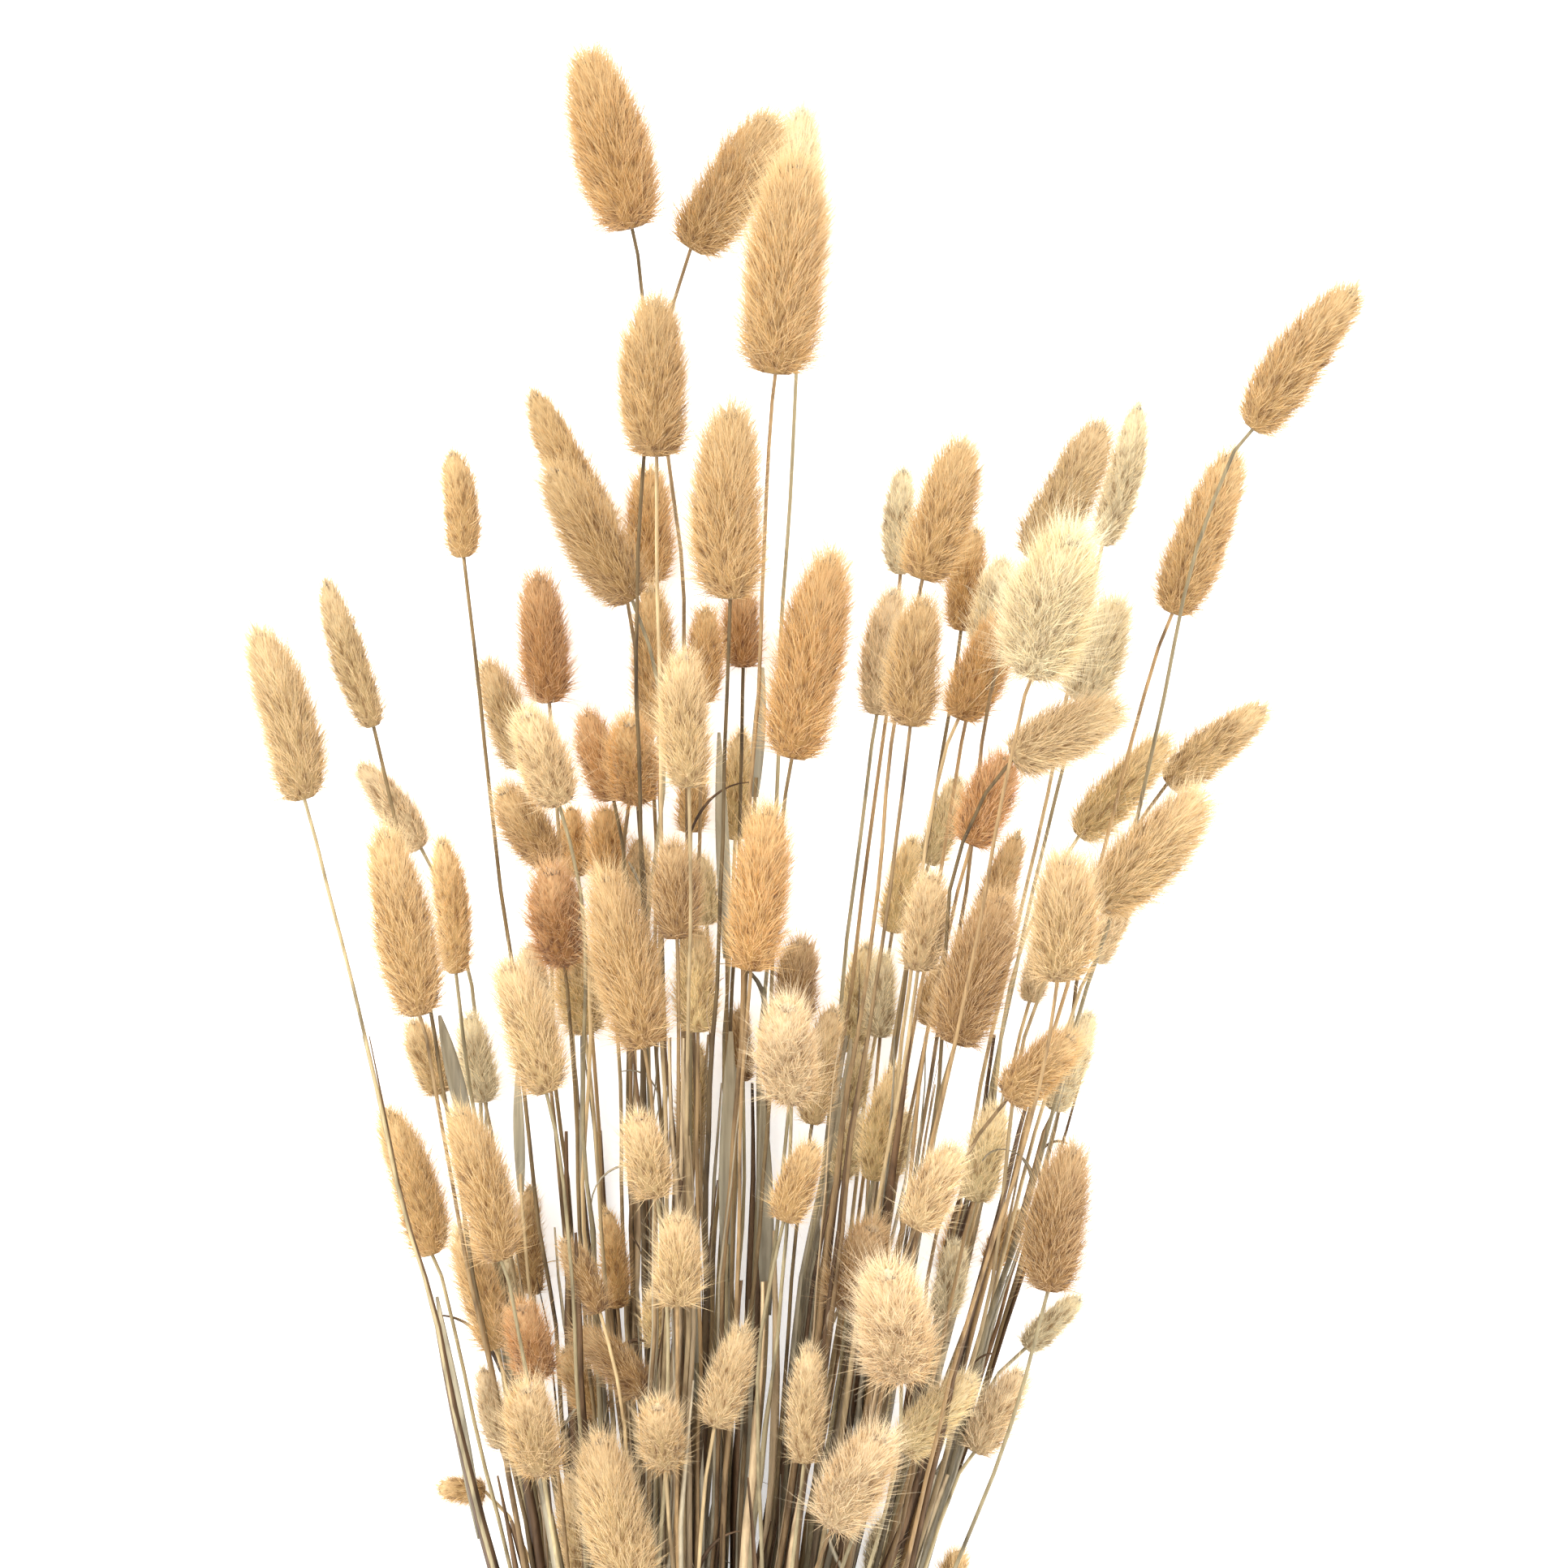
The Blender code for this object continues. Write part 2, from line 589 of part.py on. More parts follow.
class Loft:
    """A closed skin through rings that may have different numbers of points."""

    def __init__(self):
        self.points = []
        self.faces = []
        self.finish = []

    def add(self, points):
        """Adds points and gives their numbers."""
        first = len(self.points)
        self.points += [Vector(p) * MM for p in points]
        return list(range(first, len(self.points)))

    def face(self, corners, finish):
        """Adds a face with its finish."""
        self.faces.append(corners)
        self.finish.append(finish)

    def close(self, loop, apex, finish, far):
        """A fan of triangles from a ring to one point. Far says that it ends the skin."""
        for a, b in zip(loop, loop[1:] + loop[:1]):
            self.face((a, b, apex) if far else (b, a, apex), finish)

    def bridge(self, low, high, finish):
        """Joins two rings that start at the same angle, going round both at once."""
        i, j = 0, 0
        while i < len(low) or j < len(high):
            a, b = low[i % len(low)], high[j % len(high)]
            if j == len(high) or (i < len(low) and (i + 0.5) / len(low) < (j + 0.5) / len(high)):
                self.face((a, low[(i + 1) % len(low)], b), finish)
                i += 1
            else:
                self.face((a, high[(j + 1) % len(high)], b), finish)
                j += 1

    def build(self, name, materials):
        """The mesh object."""
        mesh = bpy.data.meshes.new(name)
        mesh.from_pydata(self.points, [], self.faces)
        for made in materials:
            mesh.materials.append(made)
        mesh.polygons.foreach_set("material_index", self.finish)
        shape = bmesh.new()
        shape.from_mesh(mesh)
        bmesh.ops.recalc_face_normals(shape, faces=shape.faces)
        shape.to_mesh(mesh)
        shape.free()
        mesh.update()
        obj = bpy.data.objects.new(name, mesh)
        bpy.context.scene.collection.objects.link(obj)
        return obj


def directions(points, last):
    """The way the line runs at each point. At the last one it runs as given."""
    made = [points[1] - points[0]]
    for before, after in zip(points, points[2:]):
        made.append(after - before)
    made.append(last)
    return made


def stem_rings(loft, culm, points):
    """The stem's rings, the first closed off. Gives the last one."""
    loops = []
    for point, along in zip(points, directions(points, points[-1] - points[-2])):
        radius = culm.stem_radius(point[1])
        loops.append(loft.add(ring(point, along, STEM_SIDES, radius)))
    loft.close(loops[0], loft.add([points[0]])[0], 0, far=False)
    for low, high in zip(loops, loops[1:]):
        loft.bridge(low, high, 0)
    return loops[-1]


def grow_head(culm, points, name):
    """A stem that opens into its head, whose tufts of florets are raised in staggered rows."""
    loft = Loft()
    sides = SMALL_HEAD_SIDES if culm.width < SMALL_HEAD_WIDTH else HEAD_SIDES
    length = np.linalg.norm(culm.along)
    before = stem_rings(loft, culm, points[:-1] + [points[-1] - STEM_END_SHARE * culm.along])
    for number, (share, swell) in enumerate(culm.outline()):
        centre = points[-1] + culm.along * share
        radius = culm.width / 2 * swell
        tuft = number % 2 if number else None
        loop = loft.add(ring(centre, culm.along, sides, radius, lean=TUFT_LEAN * length, tuft=tuft))
        loft.bridge(before, loop, 1 if number else 0)
        before = loop
    loft.close(before, loft.add([points[-1] + culm.along])[0], 1, far=True)
    stem, hair = material("dried_stem", STEM_COLOUR, 0.7), material(f"head_{culm.tone}", TONES[culm.tone], 0.9)
    return loft.build(name, (stem, hair))


def grow_leaf(culm, points, name):
    """A stem that opens into a flat blade with a folded middle, which narrows to its tip."""
    loft = Loft()
    before = stem_rings(loft, culm, points)
    for share, swell in LEAF_RINGS:
        centre = points[-1] + culm.along * share
        half = culm.width / 2 * swell
        squash = LEAF_THICKNESS / culm.width / swell
        loop = loft.add(ring(centre, culm.along, LEAF_SIDES, half, squash=squash))
        loft.bridge(before, loop, 1)
        before = loop
    loft.close(before, loft.add([points[-1] + culm.along])[0], 1, far=True)
    materials = (material("dried_stem", STEM_COLOUR, 0.7), material("dried_leaf", LEAF_COLOUR, 0.75))
    return loft.build(name, materials)


def pressed_rod(cell, cut, name):
    """The lower ends of one rod's stems, pressed together from the cut to just above the tie."""
    loft = Loft()
    ends = [np.array((cell[0], y, AXIS_HEIGHT + cell[1])) for y in (cut, ROD_ABOVE_TIE)]
    loops = [loft.add(ring(end, (0, 1, 0), ROD_SIDES, ROD_RADIUS)) for end in ends]
    loft.close(loops[0], loft.add([ends[0]])[0], 0, far=False)
    loft.bridge(loops[0], loops[1], 0)
    loft.close(loops[1], loft.add([ends[1]])[0], 0, far=True)
    return loft.build(name, (material("dried_stem", STEM_COLOUR, 0.7),))


def fuse(name, body, pieces):
    """Joins the pieces to the body in one Boolean union, which is applied."""
    group = bpy.data.collections.new(name + "_pieces")
    bpy.context.scene.collection.children.link(group)
    for piece in pieces:
        bpy.context.scene.collection.objects.unlink(piece)
        group.objects.link(piece)
    union = body.modifiers.new("union", "BOOLEAN")
    union.operation = "UNION"
    union.operand_type = "COLLECTION"
    union.collection = group
    union.solver = "EXACT"
    union.material_mode = "TRANSFER"
    graph = bpy.context.evaluated_depsgraph_get()
    joined = bpy.data.meshes.new_from_object(body.evaluated_get(graph), depsgraph=graph)
    body.modifiers.clear()
    body.data = joined
    body.data.name = name
    body.name = name
    for piece in pieces:
        bpy.data.objects.remove(piece, do_unlink=True)
    bpy.data.collections.remove(group)


def grow_sprays():
    """Every rod of stems with its heads and blades, as one solid each."""
    culms = [Culm(row, is_leaf=False) for row in HEADS] + [Culm(row, is_leaf=True) for row in LEAVES]
    rods = sort_into_rods(culms)
    fan = Fan(culms, rods)
    draw = np.random.default_rng(SEED)
    for number, (cell, members) in enumerate(rods, 1):
        cut = -CUT_LENGTH + CUT_UNEVEN * draw.uniform(-1, 1)
        body = pressed_rod(cell, cut, f"rod_{number:02d}")
        grown = []
        for i in members:
            grow = grow_leaf if culms[i].is_leaf else grow_head
            culm = culms[i]
            grown.append(grow(culm, fan.course(i), f"culm_{i:03d}"))
        fuse(f"spray_{number:02d}", body, grown)


def tie_profile():
    """The wound twine cut through along the bundle: a flat inside, and a rounded crest for each turn."""
    half = TIE_TURNS * TWINE / 2
    outer = BUNDLE_CORE + TIE_WALL
    profile = [(-half, BUNDLE_CORE)]
    for turn in range(TIE_TURNS):
        middle = -half + (turn + 0.5) * TWINE
        profile += [(middle - CREST / 2, outer), (middle + CREST / 2, outer)]
        if turn < TIE_TURNS - 1:
            profile.append((middle + TWINE / 2, outer - 0.5 * TWINE))
    profile.append((half, BUNDLE_CORE))
    return profile


def wind_tie():
    """The twine tie, with its knot and two short tails on the upper side."""
    loft = Loft()
    profile = tie_profile()
    flat = 1 / math.cos(math.pi / TIE_SIDES)
    loops = []
    for j in range(TIE_SIDES):
        angle = 2 * math.pi * (j + 0.5) / TIE_SIDES - math.pi / 2
        across, above = math.cos(angle) * flat, math.sin(angle) * flat
        loops.append(loft.add([(r * across, y, AXIS_HEIGHT + r * above) for y, r in profile]))
    for one, other in zip(loops, loops[1:] + loops[:1]):
        for k in range(len(profile)):
            m = (k + 1) % len(profile)
            loft.face((one[k], one[m], other[m], other[k]), 0)
    twine = (material("twine", TWINE_COLOUR, 0.85),)
    band = loft.build("band", twine)
    fuse("twine_tie", band, [tie_knot(twine), tie_tail(twine, 1), tie_tail(twine, -1)])


def knot_place():
    """The middle of the knot."""
    reach = BUNDLE_CORE + TIE_WALL + KNOT_STANDS * KNOT_SIZE[2]
    return Vector((reach * math.cos(KNOT_TURN), 0, AXIS_HEIGHT + reach * math.sin(KNOT_TURN)))


def tie_knot(twine):
    """The knot, a flattened lump."""
    mesh = bpy.data.meshes.new("knot")
    shape = bmesh.new()
    bmesh.ops.create_uvsphere(shape, u_segments=KNOT_SEGMENTS, v_segments=KNOT_RINGS, radius=MM)
    turned = Matrix.Rotation(-(math.pi / 2 - KNOT_TURN), 4, "Y") @ Matrix.Diagonal((*KNOT_SIZE, 1))
    bmesh.ops.transform(shape, matrix=Matrix.Translation(knot_place() * MM) @ turned, verts=shape.verts)
    shape.to_mesh(mesh)
    shape.free()
    mesh.materials.append(twine[0])
    obj = bpy.data.objects.new("knot", mesh)
    bpy.context.scene.collection.objects.link(obj)
    return obj


def tie_tail(twine, way):
    """One cut end of the twine, from the knot along the bundle."""
    loft = Loft()
    start = knot_place()
    outward = Vector((math.cos(KNOT_TURN), 0, math.sin(KNOT_TURN)))
    around = Vector((math.sin(KNOT_TURN), 0, -math.cos(KNOT_TURN)))
    points = []
    for share in TAIL_STATIONS:
        away = outward * (TAIL_RISE + TAIL_ARCH * math.sin(math.pi * share))
        drift = around * (way * TAIL_DRIFT * share)
        points.append(start + away + drift + Vector((0, way * TAIL_LENGTH * share, 0)))
    loops = [loft.add(ring(p, (0, way, 0), TAIL_SIDES, TAIL_RADIUS)) for p in points]
    loft.close(loops[0], loft.add([points[0]])[0], 0, far=False)
    for low, high in zip(loops, loops[1:]):
        loft.bridge(low, high, 0)
    loft.close(loops[-1], loft.add([points[-1]])[0], 0, far=True)
    return loft.build("tail", twine)


def main():
    """Builds the whole bunch."""
    clear_scene()
    grow_sprays()
    wind_tie()


if __name__ == "__main__":
    main()
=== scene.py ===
"""The looks of a tied bunch of dried bunny tail grass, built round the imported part.

The bunch lies on a pale floor and the camera looks straight down on its flower heads. Lengths in the tables
and in the fields are in millimetres, and MM turns them into metres where meshes are made. The studio's floor
and lamp alone are placed in metres. +Y runs along the bunch from the cut ends to the heads, +Z is up, and the
origin is under the middle of the tie.
"""

from __future__ import annotations

import json
import logging
import math
import sys
from collections.abc import Sequence
from dataclasses import dataclass, field
from enum import Enum, IntEnum
from typing import ClassVar

import bpy
import numpy as np
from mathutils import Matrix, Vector

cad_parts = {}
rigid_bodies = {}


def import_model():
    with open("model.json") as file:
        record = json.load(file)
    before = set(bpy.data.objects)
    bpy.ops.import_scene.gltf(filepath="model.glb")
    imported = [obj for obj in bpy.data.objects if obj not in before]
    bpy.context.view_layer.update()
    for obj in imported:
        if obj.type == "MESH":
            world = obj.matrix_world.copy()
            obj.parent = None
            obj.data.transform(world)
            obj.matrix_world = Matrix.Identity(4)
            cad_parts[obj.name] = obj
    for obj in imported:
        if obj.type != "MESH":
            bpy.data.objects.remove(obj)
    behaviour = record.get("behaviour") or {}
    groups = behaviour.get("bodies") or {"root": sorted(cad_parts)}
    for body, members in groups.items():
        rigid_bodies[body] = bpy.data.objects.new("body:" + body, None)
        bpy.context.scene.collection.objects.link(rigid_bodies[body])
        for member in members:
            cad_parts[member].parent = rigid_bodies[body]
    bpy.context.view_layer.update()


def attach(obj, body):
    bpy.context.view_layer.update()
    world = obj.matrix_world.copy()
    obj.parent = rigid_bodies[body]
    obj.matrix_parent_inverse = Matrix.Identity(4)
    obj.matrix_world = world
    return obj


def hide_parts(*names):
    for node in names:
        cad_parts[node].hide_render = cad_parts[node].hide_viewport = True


LOG = logging.getLogger("bunny_tails")

MM = 0.001
BODY = "root"
Socket = bpy.types.NodeSocket
Row = tuple[float, ...]
Span = tuple[float, float]
Triple = tuple[float, float, float]
Colour = tuple[float, float, float]
Stops = tuple[tuple[float, Colour], ...]
Rod = tuple[tuple[float, float], list[int]]

# The bunch's build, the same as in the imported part
BUNDLE_CORE = 16.4
TIE_WALL = 2.2
ROD_PITCH = 4.3
ROD_SPREAD = 0.98
ROD_TURN = 0.15
GRID_REACH = 8
CUT_LENGTH = 76.0
CUT_UNEVEN = 7.0
ROD_ABOVE_TIE = 7.0
STEM_START = 5.8
AXIS_HEIGHT = BUNDLE_CORE + TIE_WALL
STEM_RADIUS_TIE = 0.85
STEM_RADIUS_NECK = 0.6
STEMS_IN_ROD = 3
TABLE_RISE = 157.0
TABLE_SHIFT = 10.0
LAYER_ON_SURFACE = 2
TOP_LAYER = 9
FAN_BASE = 30.0
FAN_OPENING = 0.17
SLENDERNESS = 2.0
MOST_RISE_SHARE = 0.6
DIP_SHARE = 0.3
LOW_LAYER = 4
SLICE = 12.0
CLEARANCE = 0.9
ROD_MATES_GAP = 0.25
MOST_HEAD_SHIFT = 9.0
HEAD_BALLS = ((0.06, 0.64), (0.24, 0.94), (0.46, 0.95), (0.68, 0.82), (0.88, 0.50))
LEAF_BALLS = ((0.15, 0.28), (0.4, 0.28), (0.65, 0.28), (0.9, 0.28))
NEAR = 6.0
PASSES = 500
LAST_PASSES = 100
REFRESH = 10
SMOOTHING = 0.5
LAST_SMOOTHING = 0.12
FIRST_COURSE_PULL = 0.08
STEM_ABOVE_SURFACE = 0.4
ROUNDING = 5
NECK_BEND = 90.0
MOST_NECK_TURN = 0.8
LEAF_THICKNESS = 0.8
SEED = 7
FIRST_TONE_SEED = 100

# The hairs of the heads and of the twine: factors on their sizes and their lean, and how low they may hang
CLOSER_AT_TIP = 0.35
HAIR_LENGTHS = (0.45, 1.2)
HAIR_WIDTHS = (0.7, 1.3)
HALO_REACHES = (0.2, 1.0)
HALO_WILDER = 1.5
HALO_WIDTH = 0.8
LOWEST_HAIR = 0.2

# The twine's strands, and how far they take its outline in and out
STRANDS = 3
STRAND_BULGE = 0.16

# What the finishes use in common
SPECULAR = 0.25
LEAF_STREAKS = 900.0
WHITE = (1.0, 1.0, 1.0)
BLACK = (0.0, 0.0, 0.0)


class Tone(Enum):
    """The dried colours that the heads come in."""

    CREAM = "cream"
    STRAW = "straw"
    GOLD = "gold"
    TAN = "tan"
    PEACH = "peach"
    ORANGE = "orange"
    RUST = "rust"
    BROWN = "brown"
    UMBER = "umber"
    OLIVE = "olive"
    SAGE = "sage"


class Slot(Enum):
    """What a piece is made of, by the record's names."""

    DRIED_HEADS = "dried_heads"
    TWINE = "twine"


class Draw(IntEnum):
    """The seed of each thing that a hair draws."""

    WILD = 3
    LENGTH = 6
    WIDTH = 7
    SHADE = 8
    HALO = 9
    REACH = 10


# Tones that get no painted shade at the crown of the bunch
TONES_WITHOUT_CROWN_SHADE = (Tone.CREAM, Tone.SAGE)


# Each head: neck x and y, tip x and y, width, layer, tone
HEADS = (
    # Crown of the bunch
    (-24, 329, -36, 376, 20, 6, "orange"),
    (-10, 325, 12, 361, 17, 4, "tan"),
    (17, 320, 18, 365, 14, 2, "cream"),
    (11, 293, 17, 351, 21, 7, "tan"),
    (-18, 273, -18, 315, 18, 7, "tan"),
    (0, 238, 1, 289, 18, 8, "tan"),
    (-30, 255, -51, 294, 12, 3, "tan"),
    (-24, 238, -46, 274, 16, 6, "umber"),
    (-20, 243, -20, 274, 13, 2, "orange"),
    (-18, 205, -20, 246, 12, 3, "tan"),
    (-66, 249, -69, 278, 10, 4, "tan"),
    (-88, 207, -101, 247, 10, 5, "olive"),
    (-105, 189, -118, 235, 15, 5, "olive"),
    # Upper left
    (-45, 213, -48, 248, 13, 3, "rust"),
    (-52, 197, -62, 226, 11, 2, "olive"),
    (-42, 188, -51, 213, 14, 7, "straw"),
    (-29, 189, -36, 213, 11, 3, "rust"),
    (-23, 189, -25, 211, 14, 5, "orange"),
    (-10, 192, -11, 228, 13, 9, "olive"),
    (-7, 213, -6, 239, 10, 4, "orange"),
    (3, 222, 3, 243, 11, 2, "rust"),
    (15, 199, 26, 254, 18, 7, "orange"),
    (1, 179, 3, 209, 9, 1, "gold"),
    (5, 147, 10, 191, 15, 8, "orange"),
    (-13, 155, -14, 181, 13, 8, "brown"),
    (-10, 181, -10, 200, 9, 3, "tan"),
    (-21, 128, -32, 175, 17, 8, "umber"),
    (-41, 149, -44, 175, 15, 6, "rust"),
    (-44, 174, -57, 194, 13, 6, "umber"),
    (-8, 132, -8, 160, 12, 8, "gold"),
    (-36, 132, -40, 156, 14, 5, "gold"),
    (-45, 117, -56, 152, 14, 8, "olive"),
    (-30, 168, -31, 189, 11, 3, "orange"),
    (-38, 170, -40, 189, 9, 2, "orange"),
    (-22, 162, -23, 181, 8, 3, "straw"),
    (-47, 136, -50, 155, 9, 3, "peach"),
    (-6, 158, -8, 177, 9, 3, "sage"),
    # Lower left
    (-76, 136, -86, 186, 16, 8, "umber"),
    (-68, 146, -72, 183, 10, 4, "tan"),
    (-77, 177, -94, 200, 10, 2, "peach"),
    (-72, 116, -80, 136, 10, 2, "olive"),
    (-61, 114, -65, 138, 10, 3, "cream"),
    (-56, 76, -68, 117, 14, 9, "umber"),
    (-74, 76, -87, 116, 13, 3, "tan"),
    (-58, 53, -68, 86, 11, 5, "tan"),
    (-49, 66, -50, 96, 8, 2, "umber"),
    (-47, 47, -52, 67, 12, 7, "rust"),
    (-46, 24, -50, 48, 14, 9, "olive"),
    (-57, 28, -62, 50, 8, 3, "peach"),
    (-32, 63, -42, 83, 9, 8, "brown"),
    (-28, 63, -31, 90, 8, 4, "orange"),
    (-21, 43, -40, 60, 11, 8, "brown"),
    (-32, 37, -42, 55, 10, 6, "umber"),
    (-16, 26, -18, 43, 12, 9, "olive"),
    (-13, 65, -13, 89, 12, 9, "olive"),
    (-18, 54, -18, 71, 8, 7, "gold"),
    (-18, 92, -23, 114, 12, 9, "olive"),
    (-24, -4, -33, 36, 17, 9, "olive"),
    (-36, -7, -40, 25, 10, 5, "olive"),
    (-61, 17, -74, 18, 8, 2, "umber"),
    (-54, 57, -56, 78, 8, 1, "cream"),
    # Lower right
    (-4, 35, 4, 62, 11, 9, "straw"),
    (18, 26, 20, 58, 10, 9, "straw"),
    (25, 11, 39, 36, 16, 9, "peach"),
    (42, 48, 38, 77, 19, 9, "peach"),
    (27, 65, 36, 87, 14, 7, "brown"),
    (52, 61, 56, 82, 9, 6, "cream"),
    (54, 71, 59, 90, 9, 3, "tan"),
    (78, 68, 85, 107, 16, 7, "brown"),
    (73, 53, 88, 67, 8, 3, "cream"),
    (42, 29, 61, 49, 12, 9, "sage"),
    (60, 28, 73, 50, 11, 6, "peach"),
    (64, 73, 73, 89, 8, 4, "tan"),
    (45, 84, 56, 106, 12, 9, "straw"),
    (13, 86, 21, 107, 11, 9, "umber"),
    (60, 90, 66, 116, 11, 6, "sage"),
    (35, 95, 42, 126, 10, 6, "gold"),
    (27, 95, 32, 113, 8, 4, "sage"),
    (36, -5, 38, 13, 9, 5, "cream"),
    (54, -8, 57, 4, 8, 4, "tan"),
    (33, 36, 36, 58, 10, 6, "olive"),
    (39, 95, 44, 113, 8, 2, "sage"),
    # Middle right
    (15, 116, 14, 142, 16, 9, "peach"),
    (20, 109, 26, 141, 10, 6, "olive"),
    (16, 134, 18, 157, 12, 6, "brown"),
    (3, 119, 2, 139, 8, 2, "brown"),
    (-10, 102, -8, 131, 9, 3, "gold"),
    (55, 129, 68, 169, 17, 8, "brown"),
    (61, 150, 72, 184, 10, 5, "umber"),
    (49, 133, 53, 150, 9, 3, "umber"),
    (46, 147, 50, 173, 12, 7, "straw"),
    (80, 145, 82, 178, 17, 9, "olive"),
    (89, 163, 118, 193, 17, 7, "olive"),
    (108, 193, 135, 214, 12, 3, "olive"),
    (86, 180, 110, 207, 12, 4, "gold"),
    (90, 149, 99, 168, 9, 4, "peach"),
    (74, 139, 78, 156, 8, 3, "peach"),
    (69, 199, 98, 213, 15, 7, "straw"),
    (59, 178, 69, 202, 13, 7, "rust"),
    (49, 173, 57, 197, 9, 3, "sage"),
    (40, 156, 46, 182, 9, 2, "gold"),
    (37, 130, 38, 153, 9, 2, "cream"),
    (30, 126, 34, 156, 9, 1, "sage"),
    (68, 116, 86, 133, 13, 8, "umber"),
    (80, 112, 90, 139, 10, 4, "cream"),
    (28, 110, 33, 129, 8, 2, "sage"),
    # Upper right
    (74, 220, 85, 257, 22, 8, "cream"),
    (87, 213, 97, 241, 15, 3, "cream"),
    (47, 243, 58, 280, 16, 7, "tan"),
    (42, 245, 43, 274, 9, 3, "cream"),
    (57, 231, 61, 259, 10, 3, "orange"),
    (44, 207, 48, 241, 14, 8, "umber"),
    (36, 210, 41, 244, 11, 5, "peach"),
    (56, 209, 68, 237, 14, 6, "orange"),
    (62, 227, 68, 251, 11, 4, "cream"),
    (74, 248, 93, 285, 15, 6, "olive"),
    (92, 252, 102, 291, 10, 3, "cream"),
    (128, 280, 156, 318, 15, 6, "tan"),
    (109, 235, 126, 279, 15, 4, "tan"),
)

# Each leaf blade: where it opens x and y, tip x and y, width, layer
LEAVES = (
    (-1, 70, 0, 132, 4.6, 5),
    (9, 62, 8, 118, 4.2, 6),
    (-8, 40, -11, 104, 3.6, 4),
    (16, 30, 22, 88, 3.4, 4),
    (-16, 20, -22, 78, 3.2, 3),
    (2, 10, 5, 66, 3.8, 7),
    (-64, 104, -72, 136, 4.2, 5),
    (6, 190, 8, 222, 3.2, 5),
    (-1, 150, -3, 206, 3.4, 4),
    (-52, 92, -53, 122, 2.8, 4),
    (47, 12, 58, 34, 3.2, 5),
    (-62, 6, -73, 66, 3.4, 4),
    (24, 84, 30, 130, 3.2, 3),
)


def srgb(code: str) -> Colour:
    """Turns a colour written as RRGGBB into linear light.

    Args:
        code: Six hexadecimal digits.

    Returns:
        Red, green and blue, each from 0 to 1.
    """
    parts = [int(code[i : i + 2], 16) / 255 for i in (0, 2, 4)]
    return tuple(p / 12.92 if p <= 0.04045 else ((p + 0.055) / 1.055) ** 2.4 for p in parts)


def grey(light: float) -> Colour:
    """A grey, from 0 for black to 1 for white."""
    return (light, light, light)


class Culm:
    """One stem with what it ends in: a flower head, or a leaf blade."""

    def __init__(self, row: Row, is_leaf: bool) -> None:
        """Reads one row of the table.

        Args:
            row: Neck x and y, tip x and y, width, layer and, for a head, its tone.
            is_leaf: True for a leaf blade.
        """
        near_x, near_y, far_x, far_y, self.width, self.layer = row[:6]
        self.is_leaf = is_leaf
        self.tone = None if is_leaf else Tone(row[6])
        self.neck = np.array((near_x + TABLE_SHIFT, near_y + TABLE_RISE, 0.0))
        across = np.array((far_x - near_x, far_y - near_y), float)
        seen = float(np.hypot(*across))
        self.radius = LEAF_THICKNESS if is_leaf else self.width / 2
        self.along = np.array((*across, self.leaning_out(seen)))
        lift = max(0, self.layer - LAYER_ON_SURFACE) / (TOP_LAYER - LAYER_ON_SURFACE)
        self.neck[2] = self.radius + lift * (FAN_BASE + FAN_OPENING * self.neck[1])

    def leaning_out(self, seen: float) -> float:
        """How far a head that looks short from above leans up out of the bunch.

        Args:
            seen: The head's length as seen from above.

        Returns:
            The rise from its neck to its tip, less than zero if it dips.
        """
        full = SLENDERNESS * self.width
        if self.is_leaf or self.layer <= LAYER_ON_SURFACE or full <= seen:
            return 0.0
        rise = min(math.sqrt(full * full - seen * seen), MOST_RISE_SHARE * full)
        return rise if self.layer > LOW_LAYER else -DIP_SHARE * rise

    def stem_radius(self, y: float) -> float:
        """The stem's radius at a place along the bunch."""
        share = min(1.0, max(0.0, y / self.neck[1]))
        return STEM_RADIUS_TIE + (STEM_RADIUS_NECK - STEM_RADIUS_TIE) * share


def hexagon_cells(count: int) -> list[tuple[float, float]]:
    """Places the bundle's rods, packed as closely as they go.

    Args:
        count: How many rods there are.

    Returns:
        Their centres across the bundle, row by row from the bottom.
    """
    cells = [
        ((column + 0.5 * (row % 2)) * ROD_PITCH, row * ROD_PITCH * math.sqrt(0.75))
        for row in range(-GRID_REACH, GRID_REACH + 1)
        for column in range(-GRID_REACH, GRID_REACH + 1)
    ]
    best = None
    for step in range(40):
        middle = (0.05 * (step % 8) * ROD_PITCH, 0.2 * (step // 8) * ROD_PITCH)
        cells.sort(key=lambda c: (round(math.dist(c, middle), 6), c))
        reach = round(math.dist(cells[count - 1], middle), 6)
        if best is None or reach < best[0]:
            best = (reach, [(round(x - middle[0], 4), round(z - middle[1], 4)) for x, z in cells[:count]])
    return sorted(best[1], key=lambda c: (c[1], c[0]))


def sort_into_rods(culms: list[Culm]) -> list[Rod]:
    """Gives each rod its stems, so that the fan opens from the bundle in order.

    Args:
        culms: Every stem of the bunch.

    Returns:
        Each rod's centre, and the numbers of its stems.
    """
    cells = hexagon_cells(-(-len(culms) // STEMS_IN_ROD))
    steepness = [(c.neck[2] - AXIS_HEIGHT) / c.neck[1] for c in culms]
    lean = [c.neck[0] / c.neck[1] for c in culms]
    rising = sorted(range(len(culms)), key=lambda i: (steepness[i], i))
    rods = []
    taken = 0
    for height in sorted({cell[1] for cell in cells}):
        row = [cell for cell in cells if cell[1] == height]
        share = rising[taken : taken + STEMS_IN_ROD * len(row)]
        taken += len(share)
        share.sort(key=lambda i: (lean[i], i))
        for place, cell in enumerate(row):
            members = share[place * STEMS_IN_ROD : (place + 1) * STEMS_IN_ROD]
            if members:
                rods.append((cell, members))
    return rods


